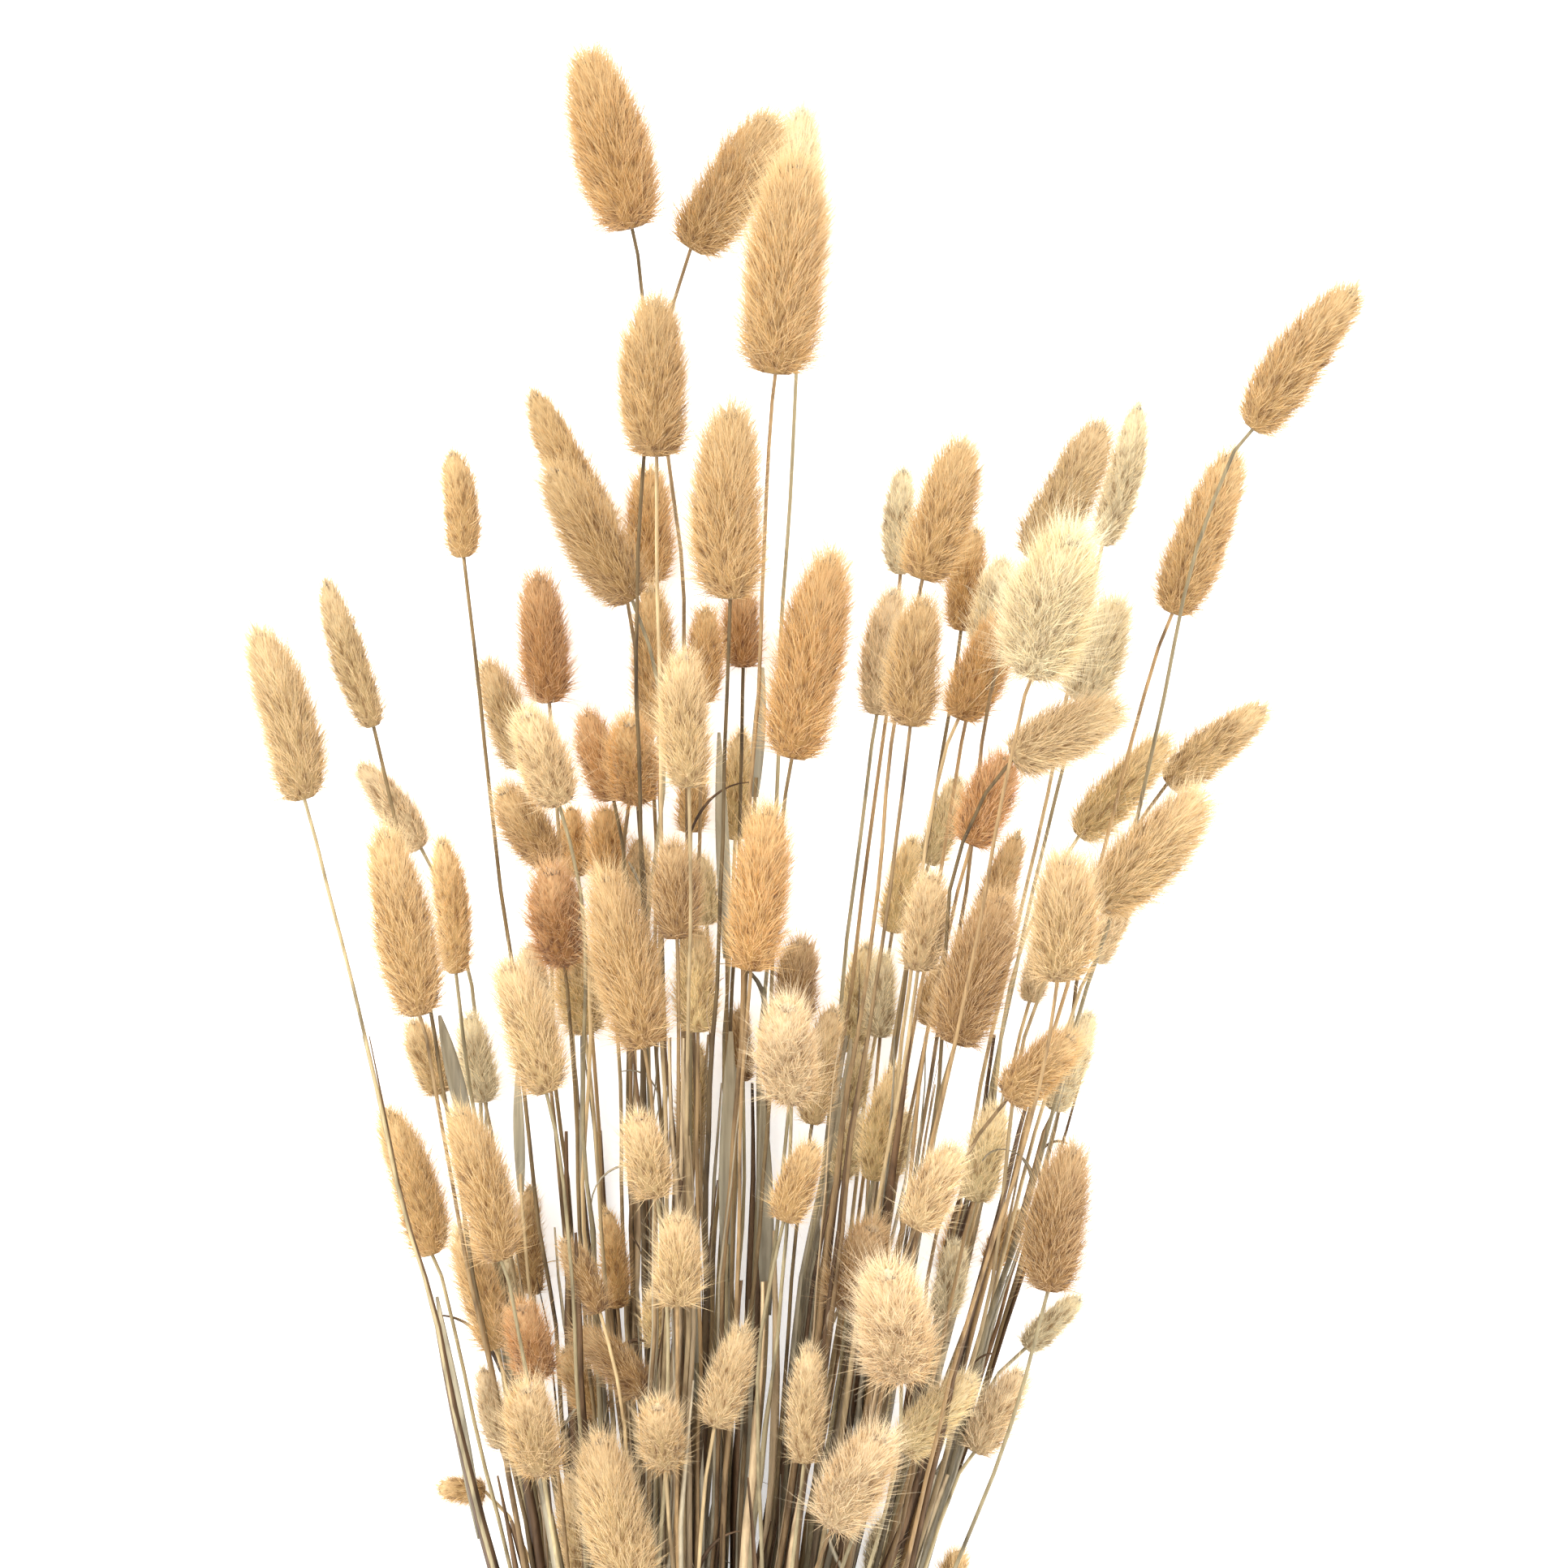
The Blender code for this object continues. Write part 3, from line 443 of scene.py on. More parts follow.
class Fan:
    """Where every stem and head lies, settled so that none runs through another."""

    def __init__(self, culms: list[Culm], rods: list[Rod]) -> None:
        """Settles the bunch.

        Args:
            culms: Every stem of the bunch.
            rods: Each rod's centre, and the numbers of its stems.
        """
        self.culms = culms
        count = len(culms)
        self.rod_of = np.zeros(count, int)
        self.root = np.zeros((count, 2))
        for number, (cell, members) in enumerate(rods):
            for i, member in enumerate(members):
                turn = 2 * math.pi * (i / STEMS_IN_ROD + ROD_TURN)
                across = ROD_SPREAD * math.cos(turn)
                above = ROD_SPREAD * math.sin(turn)
                self.rod_of[member] = number
                self.root[member] = (cell[0] + across, cell[1] + above)
        self.neck = np.array([c.neck for c in culms])
        self.planned = self.neck[:, 2].copy()
        self.levels = np.arange(0.0, self.neck[:, 1].max() + SLICE, SLICE)
        self.there = self.levels[None, :] < self.neck[:, 1, None] - 0.35 * SLICE
        self.stem_width = np.array([[c.stem_radius(y) for y in self.levels] for c in culms])
        self.lay_stems()
        self.place_balls()
        self.settle()

    def lay_stems(self) -> None:
        """Each stem's first course: straight from the tie to the neck, with a bend into the head."""
        self.x = np.zeros((len(self.culms), len(self.levels)))
        self.z = np.zeros_like(self.x)
        for i, culm in enumerate(self.culms):
            length = self.neck[i, 1]
            share = np.clip(self.levels / length, 0, 1)
            bend = min(NECK_BEND, 0.45 * length)
            late = np.clip((self.levels - (length - bend)) / bend, 0, 1)
            starts = (self.root[i, 0], AXIS_HEIGHT + self.root[i, 1])
            for axis, course, root in ((0, self.x, starts[0]), (2, self.z, starts[1])):
                slope = (self.neck[i, axis] - root) / length
                run = max(culm.along[1], 1.0)
                turn = np.clip(culm.along[axis] / run - slope, -MOST_NECK_TURN, MOST_NECK_TURN)
                course[i] = root + (self.neck[i, axis] - root) * share + turn * bend * (late**3 - late**2)
        self.first_x = self.x.copy()

    def place_balls(self) -> None:
        """Balls along each head and blade stand for it while it is settled, and which may touch is noted."""
        owner, offset, radius = [], [], []
        for i, culm in enumerate(self.culms):
            for share, swell in LEAF_BALLS if culm.is_leaf else HEAD_BALLS:
                owner.append(i)
                offset.append(culm.along * share)
                radius.append(culm.width / 2 * swell)
        self.owner = np.array(owner)
        self.offset = np.array(offset)
        self.ball = np.array(radius)
        at = self.balls()
        flat = (at[:, None, 0] - at[None, :, 0]) ** 2 + (at[:, None, 1] - at[None, :, 1]) ** 2
        apart = self.ball[:, None] + self.ball[None, :] + CLEARANCE
        touching = (flat < apart**2) & (self.owner[:, None] < self.owner[None, :])
        self.one, self.other = np.nonzero(touching)
        self.needed = np.sqrt((apart**2 - flat)[touching])
        layer = np.array([c.layer for c in self.culms])[self.owner]
        self.first_over = np.where(layer[self.one] >= layer[self.other], 1.0, -1.0)

    def balls(self) -> np.ndarray:
        """The balls' centres now."""
        return self.neck[self.owner] + self.offset

    def find_neighbours(self) -> None:
        """Notes the stems that pass near each other, and those that pass near a ball."""
        near = np.abs(self.x[:, None, :] - self.x[None, :, :]) < NEAR
        near &= np.abs(self.z[:, None, :] - self.z[None, :, :]) < NEAR
        near &= self.there[:, None, :] & self.there[None, :, :]
        near &= np.triu(np.ones((len(self.culms),) * 2, bool), 1)[:, :, None]
        i, j, k = self.pairs = np.nonzero(near)
        gap = np.where(self.rod_of[i] == self.rod_of[j], ROD_MATES_GAP, CLEARANCE)
        self.pair_apart = self.stem_width[i, k] + self.stem_width[j, k] + gap
        at = self.balls()
        below = np.clip((at[:, 1] / SLICE).astype(int), 0, len(self.levels) - 2)
        near = np.abs(self.x[:, below] - at[None, :, 0]) < NEAR + self.ball[None, :]
        near &= np.abs(self.z[:, below] - at[None, :, 2]) < NEAR + self.ball[None, :]
        near &= at[None, :, 1] < self.neck[:, 1, None]
        near &= np.arange(len(self.culms))[:, None] != self.owner[None, :]
        self.stem, self.beside = np.nonzero(near)
        self.below = below[self.beside]
        self.share = at[self.beside, 1] / SLICE - self.below
        self.beside_apart = self.ball[self.beside] + self.stem_width[self.stem, self.below] + CLEARANCE

    def settle(self) -> None:
        """Pushes what overlaps apart, and smooths the stems, over and over."""
        for number in range(PASSES):
            if number % REFRESH == 0:
                self.find_neighbours()
            self.smooth(SMOOTHING if number < PASSES - LAST_PASSES else LAST_SMOOTHING)
            self.part_heads()
            self.part_stems()
            self.part_stems_from_heads()
            self.keep_above_surface()
            self.x = np.round(self.x, ROUNDING)
            self.z = np.round(self.z, ROUNDING)
            self.neck = np.round(self.neck, ROUNDING)

    def smooth(self, share: float) -> None:
        """Draws each stem towards a smooth line between its root and its neck.

        Args:
            share: How far each point goes towards the middle of its neighbours.
        """
        self.x += FIRST_COURSE_PULL * (self.first_x - self.x)
        starts = (self.root[:, 0], AXIS_HEIGHT + self.root[:, 1])
        for course, axis, start in ((self.x, 0, starts[0]), (self.z, 2, starts[1])):
            padded = np.where(self.there, course, self.neck[:, axis, None])
            course[:, 1:-1] += share * (0.5 * (padded[:, :-2] + padded[:, 2:]) - course[:, 1:-1])
            course[:, 0] = start

    def part_heads(self) -> None:
        """Moves heads that touch up and down from each other."""
        height = self.balls()[:, 2]
        gap = height[self.one] - height[self.other]
        over = np.where(np.abs(gap) > 0.5, np.sign(gap), self.first_over)
        push = over * np.maximum(self.needed - np.abs(gap), 0)
        up = np.zeros(len(self.culms))
        down = np.zeros(len(self.culms))
        for side, moved in ((self.one, push), (self.other, -push)):
            np.maximum.at(up, self.owner[side], moved)
            np.minimum.at(down, self.owner[side], moved)
        self.neck[:, 2] += 0.25 * (up + down)

    def add(self, course: np.ndarray, stem: np.ndarray, level: np.ndarray, amount: np.ndarray) -> None:
        """Adds each amount to a stem's place at a level.

        Args:
            course: The places, by stem and level.
            stem: The stem of each amount.
            level: The level of each amount.
            amount: How far to move.
        """
        place = stem * len(self.levels) + level
        course += np.bincount(place, amount, course.size).reshape(course.shape)

    def part_stems(self) -> None:
        """Moves stems apart where they pass too close, which is closer for those of one rod."""
        i, j, k = self.pairs
        across = self.x[i, k] - self.x[j, k]
        above = self.z[i, k] - self.z[j, k]
        distance = np.sqrt(across**2 + above**2) + 1e-6
        step = 0.4 * np.maximum(self.pair_apart - distance, 0) / distance
        step[k == 0] = 0
        for course, gap in ((self.x, across), (self.z, above)):
            self.add(course, i, k, step * gap)
            self.add(course, j, k, -step * gap)

    def part_stems_from_heads(self) -> None:
        """Bends stems round the heads of others, and gives the heads a little of the push."""
        at = self.balls()[self.beside]
        low = (self.stem, self.below)
        high = (self.stem, self.below + 1)
        across = self.x[low] * (1 - self.share) + self.x[high] * self.share - at[:, 0]
        above = self.z[low] * (1 - self.share) + self.z[high] * self.share - at[:, 2]
        distance = np.sqrt(across**2 + above**2) + 1e-6
        step = np.maximum(self.beside_apart - distance, 0) / distance
        for place, weight in ((low, 1 - self.share), (high, self.share)):
            strength = 0.5 * np.clip(weight + 0.35, 0, 1) * step
            self.add(self.x, *place, strength * across)
            self.add(self.z, *place, strength * above)
        lift = np.bincount(self.owner[self.beside], -0.05 * step * above, len(self.culms))
        self.neck[:, 2] += np.clip(lift, -0.5, 0.5)

    def keep_above_surface(self) -> None:
        """Nothing sinks below what the bunch lies on, and no head strays far from its layer."""
        sunk = np.zeros(len(self.culms))
        np.maximum.at(sunk, self.owner, self.ball - self.balls()[:, 2])
        self.neck[:, 2] += 0.5 * sunk
        lowest, highest = self.planned - MOST_HEAD_SHIFT, self.planned + MOST_HEAD_SHIFT
        self.neck[:, 2] = np.clip(self.neck[:, 2], lowest, highest)
        self.z = np.maximum(self.z, self.stem_width + STEM_ABOVE_SURFACE)

    def course(self, i: int, cut: float) -> np.ndarray:
        """The points of a stem from its cut end to its neck.

        Args:
            i: The stem's number.
            cut: Where its cut end is along the bunch.

        Returns:
            One row for each point.
        """
        use = self.there[i] & (self.levels > ROD_ABOVE_TIE)
        low = [(self.root[i, 0], y, AXIS_HEIGHT + self.root[i, 1]) for y in (cut, 0.5 * cut, 0.0, STEM_START)]
        high = np.column_stack((self.x[i, use], self.levels[use], self.z[i, use]))
        return np.vstack((low, high, self.neck[i]))


class Graph:
    """A node tree that is being wired up."""

    def __init__(self, tree: bpy.types.NodeTree) -> None:
        """Starts on a tree."""
        self.tree = tree

    def add(self, kind: str, inputs: dict | None = None, **settings: object) -> bpy.types.Node:
        """Adds a node.

        Args:
            kind: The node's type name.
            inputs: What each input gets, by its name or number: a value, or the output that feeds it.
            settings: The node's own settings.

        Returns:
            The node.
        """
        node = self.tree.nodes.new(kind)
        for name, value in settings.items():
            setattr(node, name, value)
        for name, value in (inputs or {}).items():
            self.feed(node.inputs[name], value)
        return node

    def feed(self, socket: Socket, value: object) -> None:
        """Links an output to a socket, or sets the socket's value.

        Args:
            socket: The socket.
            value: The output, or the value.
        """
        if isinstance(value, Socket):
            self.tree.links.new(value, socket)
        else:
            socket.default_value = value

    def math(self, operation: str, *values: object) -> Socket:
        """Adds a Math node on up to three values and gives its result."""
        return self.add("ShaderNodeMath", dict(enumerate(values)), operation=operation).outputs[0]

    def product(self, one: object, other: object) -> Socket:
        """Multiplies two numbers."""
        return self.math("MULTIPLY", one, other)

    def scaled(self, vector: object, factor: object) -> Socket:
        """Multiplies a vector by a number."""
        inputs = {"Vector": vector, "Scale": factor}
        return self.add("ShaderNodeVectorMath", inputs, operation="SCALE").outputs[0]

    def summed(self, one: Socket, other: Socket) -> Socket:
        """Adds two vectors."""
        return self.add("ShaderNodeVectorMath", {0: one, 1: other}, operation="ADD").outputs[0]

    def parts(self, vector: Socket) -> bpy.types.bpy_prop_collection:
        """Splits a vector and gives its X, Y and Z outputs."""
        return self.add("ShaderNodeSeparateXYZ", {0: vector}).outputs

    def point(self, x: object, y: object, z: object) -> Socket:
        """Makes a vector of three numbers."""
        return self.add("ShaderNodeCombineXYZ", {"X": x, "Y": y, "Z": z}).outputs[0]

    def ramp(self, factor: object, stops: Stops) -> Socket:
        """Adds a colour ramp.

        Args:
            factor: What the ramp reads.
            stops: Each stop's place and colour.

        Returns:
            The colour.
        """
        node = self.add("ShaderNodeValToRGB", {"Fac": factor})
        elements = node.color_ramp.elements
        while len(elements) < len(stops):
            elements.new(0.5)
        for element, (place, colour) in zip(elements, stops):
            element.position = place
            element.color = (*colour, 1.0)
        return node.outputs["Color"]

    def attribute(self, name: str, output: str = "Fac") -> Socket:
        """Reads what a mesh's points carry, in a material."""
        return self.add("ShaderNodeAttribute", attribute_name=name).outputs[output]

    def mixed(self, factor: object, one: object, other: object, blend: str = "MIX") -> Socket:
        """Mixes two colours.

        Args:
            factor: How much of the second shows.
            one: The first colour.
            other: The second colour.
            blend: How they mix.

        Returns:
            The colour.
        """
        inputs = {0: factor, 6: one, 7: other}
        for place in (6, 7):
            if not isinstance(inputs[place], Socket):
                inputs[place] = (*inputs[place], 1.0)
        return self.add("ShaderNodeMix", inputs, data_type="RGBA", blend_type=blend).outputs[2]

    def multiplied(self, one: Socket, other: Socket) -> Socket:
        """Multiplies two colours."""
        return self.mixed(1.0, one, other, "MULTIPLY")

    def noise(self, place: Socket, scales: Triple, detail: float) -> Socket:
        """Adds noise with a scale of its own along each axis.

        Args:
            place: Where it is read.
            scales: How fine it is along X, Y and Z.
            detail: How many finer layers it has.

        Returns:
            A number from 0 to 1.
        """
        stretched = self.add("ShaderNodeMapping", {"Vector": place, "Scale": scales}).outputs[0]
        inputs = {"Vector": stretched, "Scale": 1.0, "Detail": detail}
        return self.add("ShaderNodeTexNoise", inputs).outputs["Fac"]

    def roughen(self, shader: bpy.types.Node, height: Socket, strength: float, distance: float) -> None:
        """Adds fine relief to a surface.

        Args:
            shader: The surface shader.
            height: The relief's height.
            strength: How strong it is.
            distance: How high it stands, in metres.
        """
        inputs = {"Height": height, "Strength": strength, "Distance": distance}
        self.feed(shader.inputs["Normal"], self.add("ShaderNodeBump", inputs).outputs[0])

    def carried(self, name: str, kind: str = "FLOAT") -> Socket:
        """Reads what a mesh's points carry, in a geometry tree."""
        return self.add("GeometryNodeInputNamedAttribute", {"Name": name}, data_type=kind).outputs[0]

    def stored(self, geometry: Socket, name: str, value: object) -> Socket:
        """Has the points of a geometry carry a number.

        Args:
            geometry: The geometry.
            name: The number's name.
            value: The number.

        Returns:
            The geometry with it.
        """
        inputs = {"Geometry": geometry, "Name": name, "Value": value}
        settings = {"data_type": "FLOAT", "domain": "POINT"}
        return self.add("GeometryNodeStoreNamedAttribute", inputs, **settings).outputs[0]

    def random(self, span: tuple[float, float], seed: int) -> Socket:
        """Draws a number between two for each point."""
        inputs = {2: span[0], 3: span[1], "Seed": seed}
        return self.add("FunctionNodeRandomValue", inputs, data_type="FLOAT").outputs[1]

    def moved(self, geometry: Socket, place: Socket) -> Socket:
        """Moves a geometry's points."""
        return self.add("GeometryNodeSetPosition", {"Geometry": geometry, "Position": place}).outputs[0]


class Finish:
    """What every finish shares: a material with a node tree."""

    name: str
    roughness: float
    sheen: float

    def surface(self) -> tuple[bpy.types.Material, Graph, bpy.types.Node]:
        """Starts the material.

        Returns:
            The material, its tree, and its surface shader.
        """
        made = bpy.data.materials.new(self.name)
        made.use_nodes = True
        shader = made.node_tree.nodes["Principled BSDF"]
        shader.inputs["Roughness"].default_value = self.roughness
        shader.inputs["Specular IOR Level"].default_value = SPECULAR
        shader.inputs["Sheen Weight"].default_value = self.sheen
        return made, Graph(made.node_tree), shader


@dataclass(frozen=True)
class PlumeFinish(Finish):
    """Fine dried hair, a little darker at the florets and paler to the tip, the pale tips partly the hair's
    own colour and partly painted backlight glow.
    """

    name: str
    hair: Colour
    tip: Colour
    roughness: float = 0.85
    sheen: float = 0.18
    sheen_roughness: float = 0.6
    core_dark: float = 0.52
    root_dark: float = 0.80
    halo_pale: float = 0.66
    # Colour at the very tips of the hairs: their own pale colour with painted backlight glow
    pale_backlit_fringe: Colour = (0.98, 0.90, 0.77)
    hair_stops: tuple[float, ...] = (0.0, 0.16, 0.46, 0.80, 1.0)
    ends: Stops = ((0.60, BLACK), (1.0, grey(0.8)))
    base: Stops = ((0.04, (0.92, 0.88, 0.83)), (0.30, WHITE))
    strands: Stops = ((0.0, (0.50, 0.41, 0.33)), (0.07, (0.94, 0.92, 0.90)), (1.0, (1.06, 1.05, 1.04)))
    heads: Stops = ((0.0, (0.72, 0.69, 0.65)), (1.0, (1.06, 1.06, 1.07)))
    flecks: Stops = ((0.33, (0.50, 0.40, 0.30)), (0.50, WHITE), (0.70, grey(1.06)))
    fleck_scales: Triple = (900.0, 900.0, 330.0)
    unflecked: Stops = ((0.2, BLACK), (0.9, grey(0.75)))

    def material(self) -> bpy.types.Material:
        """Makes the material from each hair's reach, shade and halo, its root's place and its head's tint,
        which holds the head's random tone and the painted shade at the crown.

        Returns:
            The material.
        """
        made, graph, shader = self.surface()
        shader.inputs["Sheen Roughness"].default_value = self.sheen_roughness
        names = ("reach", "shade", "halo", "tint_and_crown_shade", "along")
        reach, shade, halo, tint_and_crown_shade, along = (graph.attribute(name) for name in names)
        pale = graph.math("MAXIMUM", reach, graph.product(halo, self.halo_pale))
        core, root = (tuple(dark * part for part in self.hair) for dark in (self.core_dark, self.root_dark))
        colours = (core, root, self.hair, self.tip, self.pale_backlit_fringe)
        # The hairs pale from root to tip, and the halo hairs more so: partly their own colour, partly painted
        # backlight glow
        body = graph.ramp(pale, tuple(zip(self.hair_stops, colours)))
        end = graph.ramp(along, self.ends)
        body = graph.mixed(end, body, self.tip)
        flecks = graph.noise(graph.attribute("local", "Vector"), self.fleck_scales, 2.0)
        flecks = graph.ramp(flecks, self.flecks)
        for unflecked in (graph.ramp(reach, self.unflecked), end):
            flecks = graph.mixed(unflecked, flecks, WHITE)
        strands = graph.multiplied(body, graph.ramp(shade, self.strands))
        # The tint holds the head's random tone and the painted shade at the crown
        heads = graph.multiplied(graph.ramp(tint_and_crown_shade, self.heads), flecks)
        colour = graph.multiplied(strands, heads)
        graph.feed(shader.inputs["Base Color"], graph.multiplied(colour, graph.ramp(along, self.base)))
        return made


@dataclass(frozen=True)
class StrawFinish(Finish):
    """Dried stem or leaf: streaked lengthwise, greyer low down, with stains."""

    name: str
    low: Colour
    high: Colour
    stain: Colour
    streaks: float = 1400.0
    streak_length: float = 40.0
    blotches: Triple = (300.0, 60.0, 300.0)
    roughness: float = 0.6
    sheen: float = 0.0
    stains: Stops = ((0.50, BLACK), (0.72, grey(0.8)))
    lines: Stops = ((0.3, (0.72, 0.70, 0.68)), (0.7, (1.12, 1.10, 1.06)))
    stems: Stops = ((0.0, (0.50, 0.47, 0.44)), (0.5, grey(0.92)), (1.0, (1.30, 1.26, 1.20)))

    def material(self) -> bpy.types.Material:
        """Makes the material, which reads each stem's shade and how far up it a point is.

        Returns:
            The material.
        """
        made, graph, shader = self.surface()
        place = graph.add("ShaderNodeTexCoord").outputs["Object"]
        fine = graph.noise(place, (self.streaks, self.streak_length, self.streaks), 3.0)
        broad = graph.noise(place, self.blotches, 4.0)
        colour = graph.ramp(graph.attribute("reach"), ((0.0, self.low), (1.0, self.high)))
        stained = graph.mixed(graph.ramp(broad, self.stains), colour, self.stain)
        lined = graph.multiplied(stained, graph.ramp(fine, self.lines))
        stems = graph.ramp(graph.attribute("shade"), self.stems)
        graph.feed(shader.inputs["Base Color"], graph.multiplied(lined, stems))
        graph.roughen(shader, fine, 0.35, 0.2 * MM)
        return made


@dataclass(frozen=True)
class TwineFinish(Finish):
    """Matt twisted plant fibre."""

    name: str
    # dark is painted shade in the grooves between the strands, light is the fibre on their crowns
    dark: Colour
    light: Colour
    roughness: float = 0.9
    sheen: float = 0.15
    fibres: Triple = (2600.0, 2600.0, 2600.0)
    spots: Stops = ((0.3, (0.7, 0.66, 0.6)), (0.7, (1.15, 1.12, 1.08)))

    def material(self) -> bpy.types.Material:
        """Makes the material, with painted shade in the grooves between its strands.

        Returns:
            The material.
        """
        made, graph, shader = self.surface()
        fibre = graph.noise(graph.add("ShaderNodeTexCoord").outputs["Object"], self.fibres, 4.0)
        # Painted shade: dark in the grooves between the strands, light on their crowns
        colour = graph.ramp(graph.attribute("ridge"), ((0.0, self.dark), (1.0, self.light)))
        spotted = graph.multiplied(colour, graph.ramp(fibre, self.spots))
        graph.feed(shader.inputs["Base Color"], spotted)
        graph.roughen(shader, fibre, 0.5, 0.3 * MM)
        return made


def plume(tone: Tone, hair: str, tip: str) -> PlumeFinish:
    """Makes a tone's finish from two colours written as RRGGBB."""
    return PlumeFinish(f"plume_{tone.value}", srgb(hair), srgb(tip))


PLUMES = {
    Tone.CREAM: plume(Tone.CREAM, "FBEABF", "FEF2CE"),
    Tone.STRAW: plume(Tone.STRAW, "F1D29C", "FAE6BC"),
    Tone.GOLD: plume(Tone.GOLD, "FCDE9C", "FCE8BC"),
    Tone.TAN: plume(Tone.TAN, "F0C683", "F8E0AE"),
    Tone.PEACH: plume(Tone.PEACH, "F7DBAA", "FCE9C4"),
    Tone.ORANGE: plume(Tone.ORANGE, "EBBA72", "F6DAA4"),
    Tone.RUST: plume(Tone.RUST, "DAA260", "F0CE9C"),
    Tone.BROWN: plume(Tone.BROWN, "BF955C", "E8CC9C"),
    Tone.UMBER: plume(Tone.UMBER, "D8AF70", "F0D6A4"),
    Tone.OLIVE: plume(Tone.OLIVE, "E6C68C", "F5DEB2"),
    Tone.SAGE: plume(Tone.SAGE, "FAE3AA", "FBEAC2"),
}

# Each finish of the stems and of the husks, with the share of them that has it
STEM_FINISHES = {
    StrawFinish("straw_stem", srgb("AD9A7C"), srgb("CDB68C"), srgb("7C6448")): 0.34,
    StrawFinish("grey_stem", srgb("989382"), srgb("B8AA86"), srgb("645C4C")): 0.28,
    StrawFinish("brown_stem", srgb("745F4A"), srgb("A58A64"), srgb("453426")): 0.21,
    StrawFinish("dark_stem", srgb("4C3E32"), srgb("84704F"), srgb("2E241C")): 0.17,
}
HUSK_FINISHES = {
    StrawFinish("grey_husk", srgb("A59F8C"), srgb("BDB29A"), srgb("736A5C"), LEAF_STREAKS): 0.38,
    StrawFinish("straw_husk", srgb("B8A388"), srgb("D2BC98"), srgb("866C54"), LEAF_STREAKS): 0.26,
    StrawFinish("brown_husk", srgb("5A4636"), srgb("82684E"), srgb("33271E"), LEAF_STREAKS): 0.36,
}
BLADE_FINISH = StrawFinish("dried_blade", srgb("A39E8C"), srgb("B8AD92"), srgb("756A58"), LEAF_STREAKS)
TWINE_FINISH = TwineFinish("jute_twine", srgb("7E6440"), srgb("C8A878"))


def stamp(mesh: bpy.types.Mesh, name: str, values: np.ndarray) -> None:
    """Writes an attribute on a mesh's points.

    Args:
        mesh: The mesh.
        name: The attribute's name.
        values: One number, or one vector, for each point.
    """
    kind, part = ("FLOAT_VECTOR", "vector") if values.ndim == 2 else ("FLOAT", "value")
    attribute = mesh.attributes.get(name) or mesh.attributes.new(name, kind, "POINT")
    attribute.data.foreach_set(part, values.astype(np.float32).ravel())


def mesh_object(
    name: str, points: np.ndarray, edges: Sequence = (), faces: Sequence = (), smooth: bool = True
) -> bpy.types.Object:
    """Makes an object from points in millimetres.

    Args:
        name: The object's name.
        points: One row for each point.
        edges: The ends of each edge that no face has.
        faces: The corners of each face.
        smooth: True to shade it smooth.

    Returns:
        The object, linked to the scene.
    """
    mesh = bpy.data.meshes.new(name)
    mesh.from_pydata((points * MM).tolist(), edges, faces, shade_flat=not smooth)
    made = bpy.data.objects.new(name, mesh)
    bpy.context.scene.collection.objects.link(made)
    return made


def grown(made: bpy.types.Object, tree: bpy.types.NodeTree, values: dict[str, object]) -> None:
    """Runs a node tree on an object and keeps the result as its mesh.

    Args:
        made: The object.
        tree: The geometry node tree.
        values: What its named inputs get.
    """
    modifier = made.modifiers.new("grow", "NODES")
    modifier.node_group = tree
    for item in tree.interface.items_tree:
        if item.item_type == "SOCKET" and item.in_out == "INPUT" and item.name in values:
            modifier[item.identifier] = values[item.name]
    graph = bpy.context.evaluated_depsgraph_get()
    result = bpy.data.meshes.new_from_object(made.evaluated_get(graph), depsgraph=graph)
    made.modifiers.clear()
    old = made.data
    made.data = result
    result.name = made.name
    bpy.data.meshes.remove(old)


def fastened(piece: bpy.types.Object, nodes: list[str]) -> bpy.types.Object:
    """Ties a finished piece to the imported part.

    Args:
        piece: The piece.
        nodes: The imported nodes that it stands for.

    Returns:
        The piece.
    """
    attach(piece, BODY)
    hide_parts(*nodes)
    return piece


def triangles(made: bpy.types.Object) -> int:
    """Counts an object's triangles."""
    made.data.calc_loop_triangles()
    return len(made.data.loop_triangles)


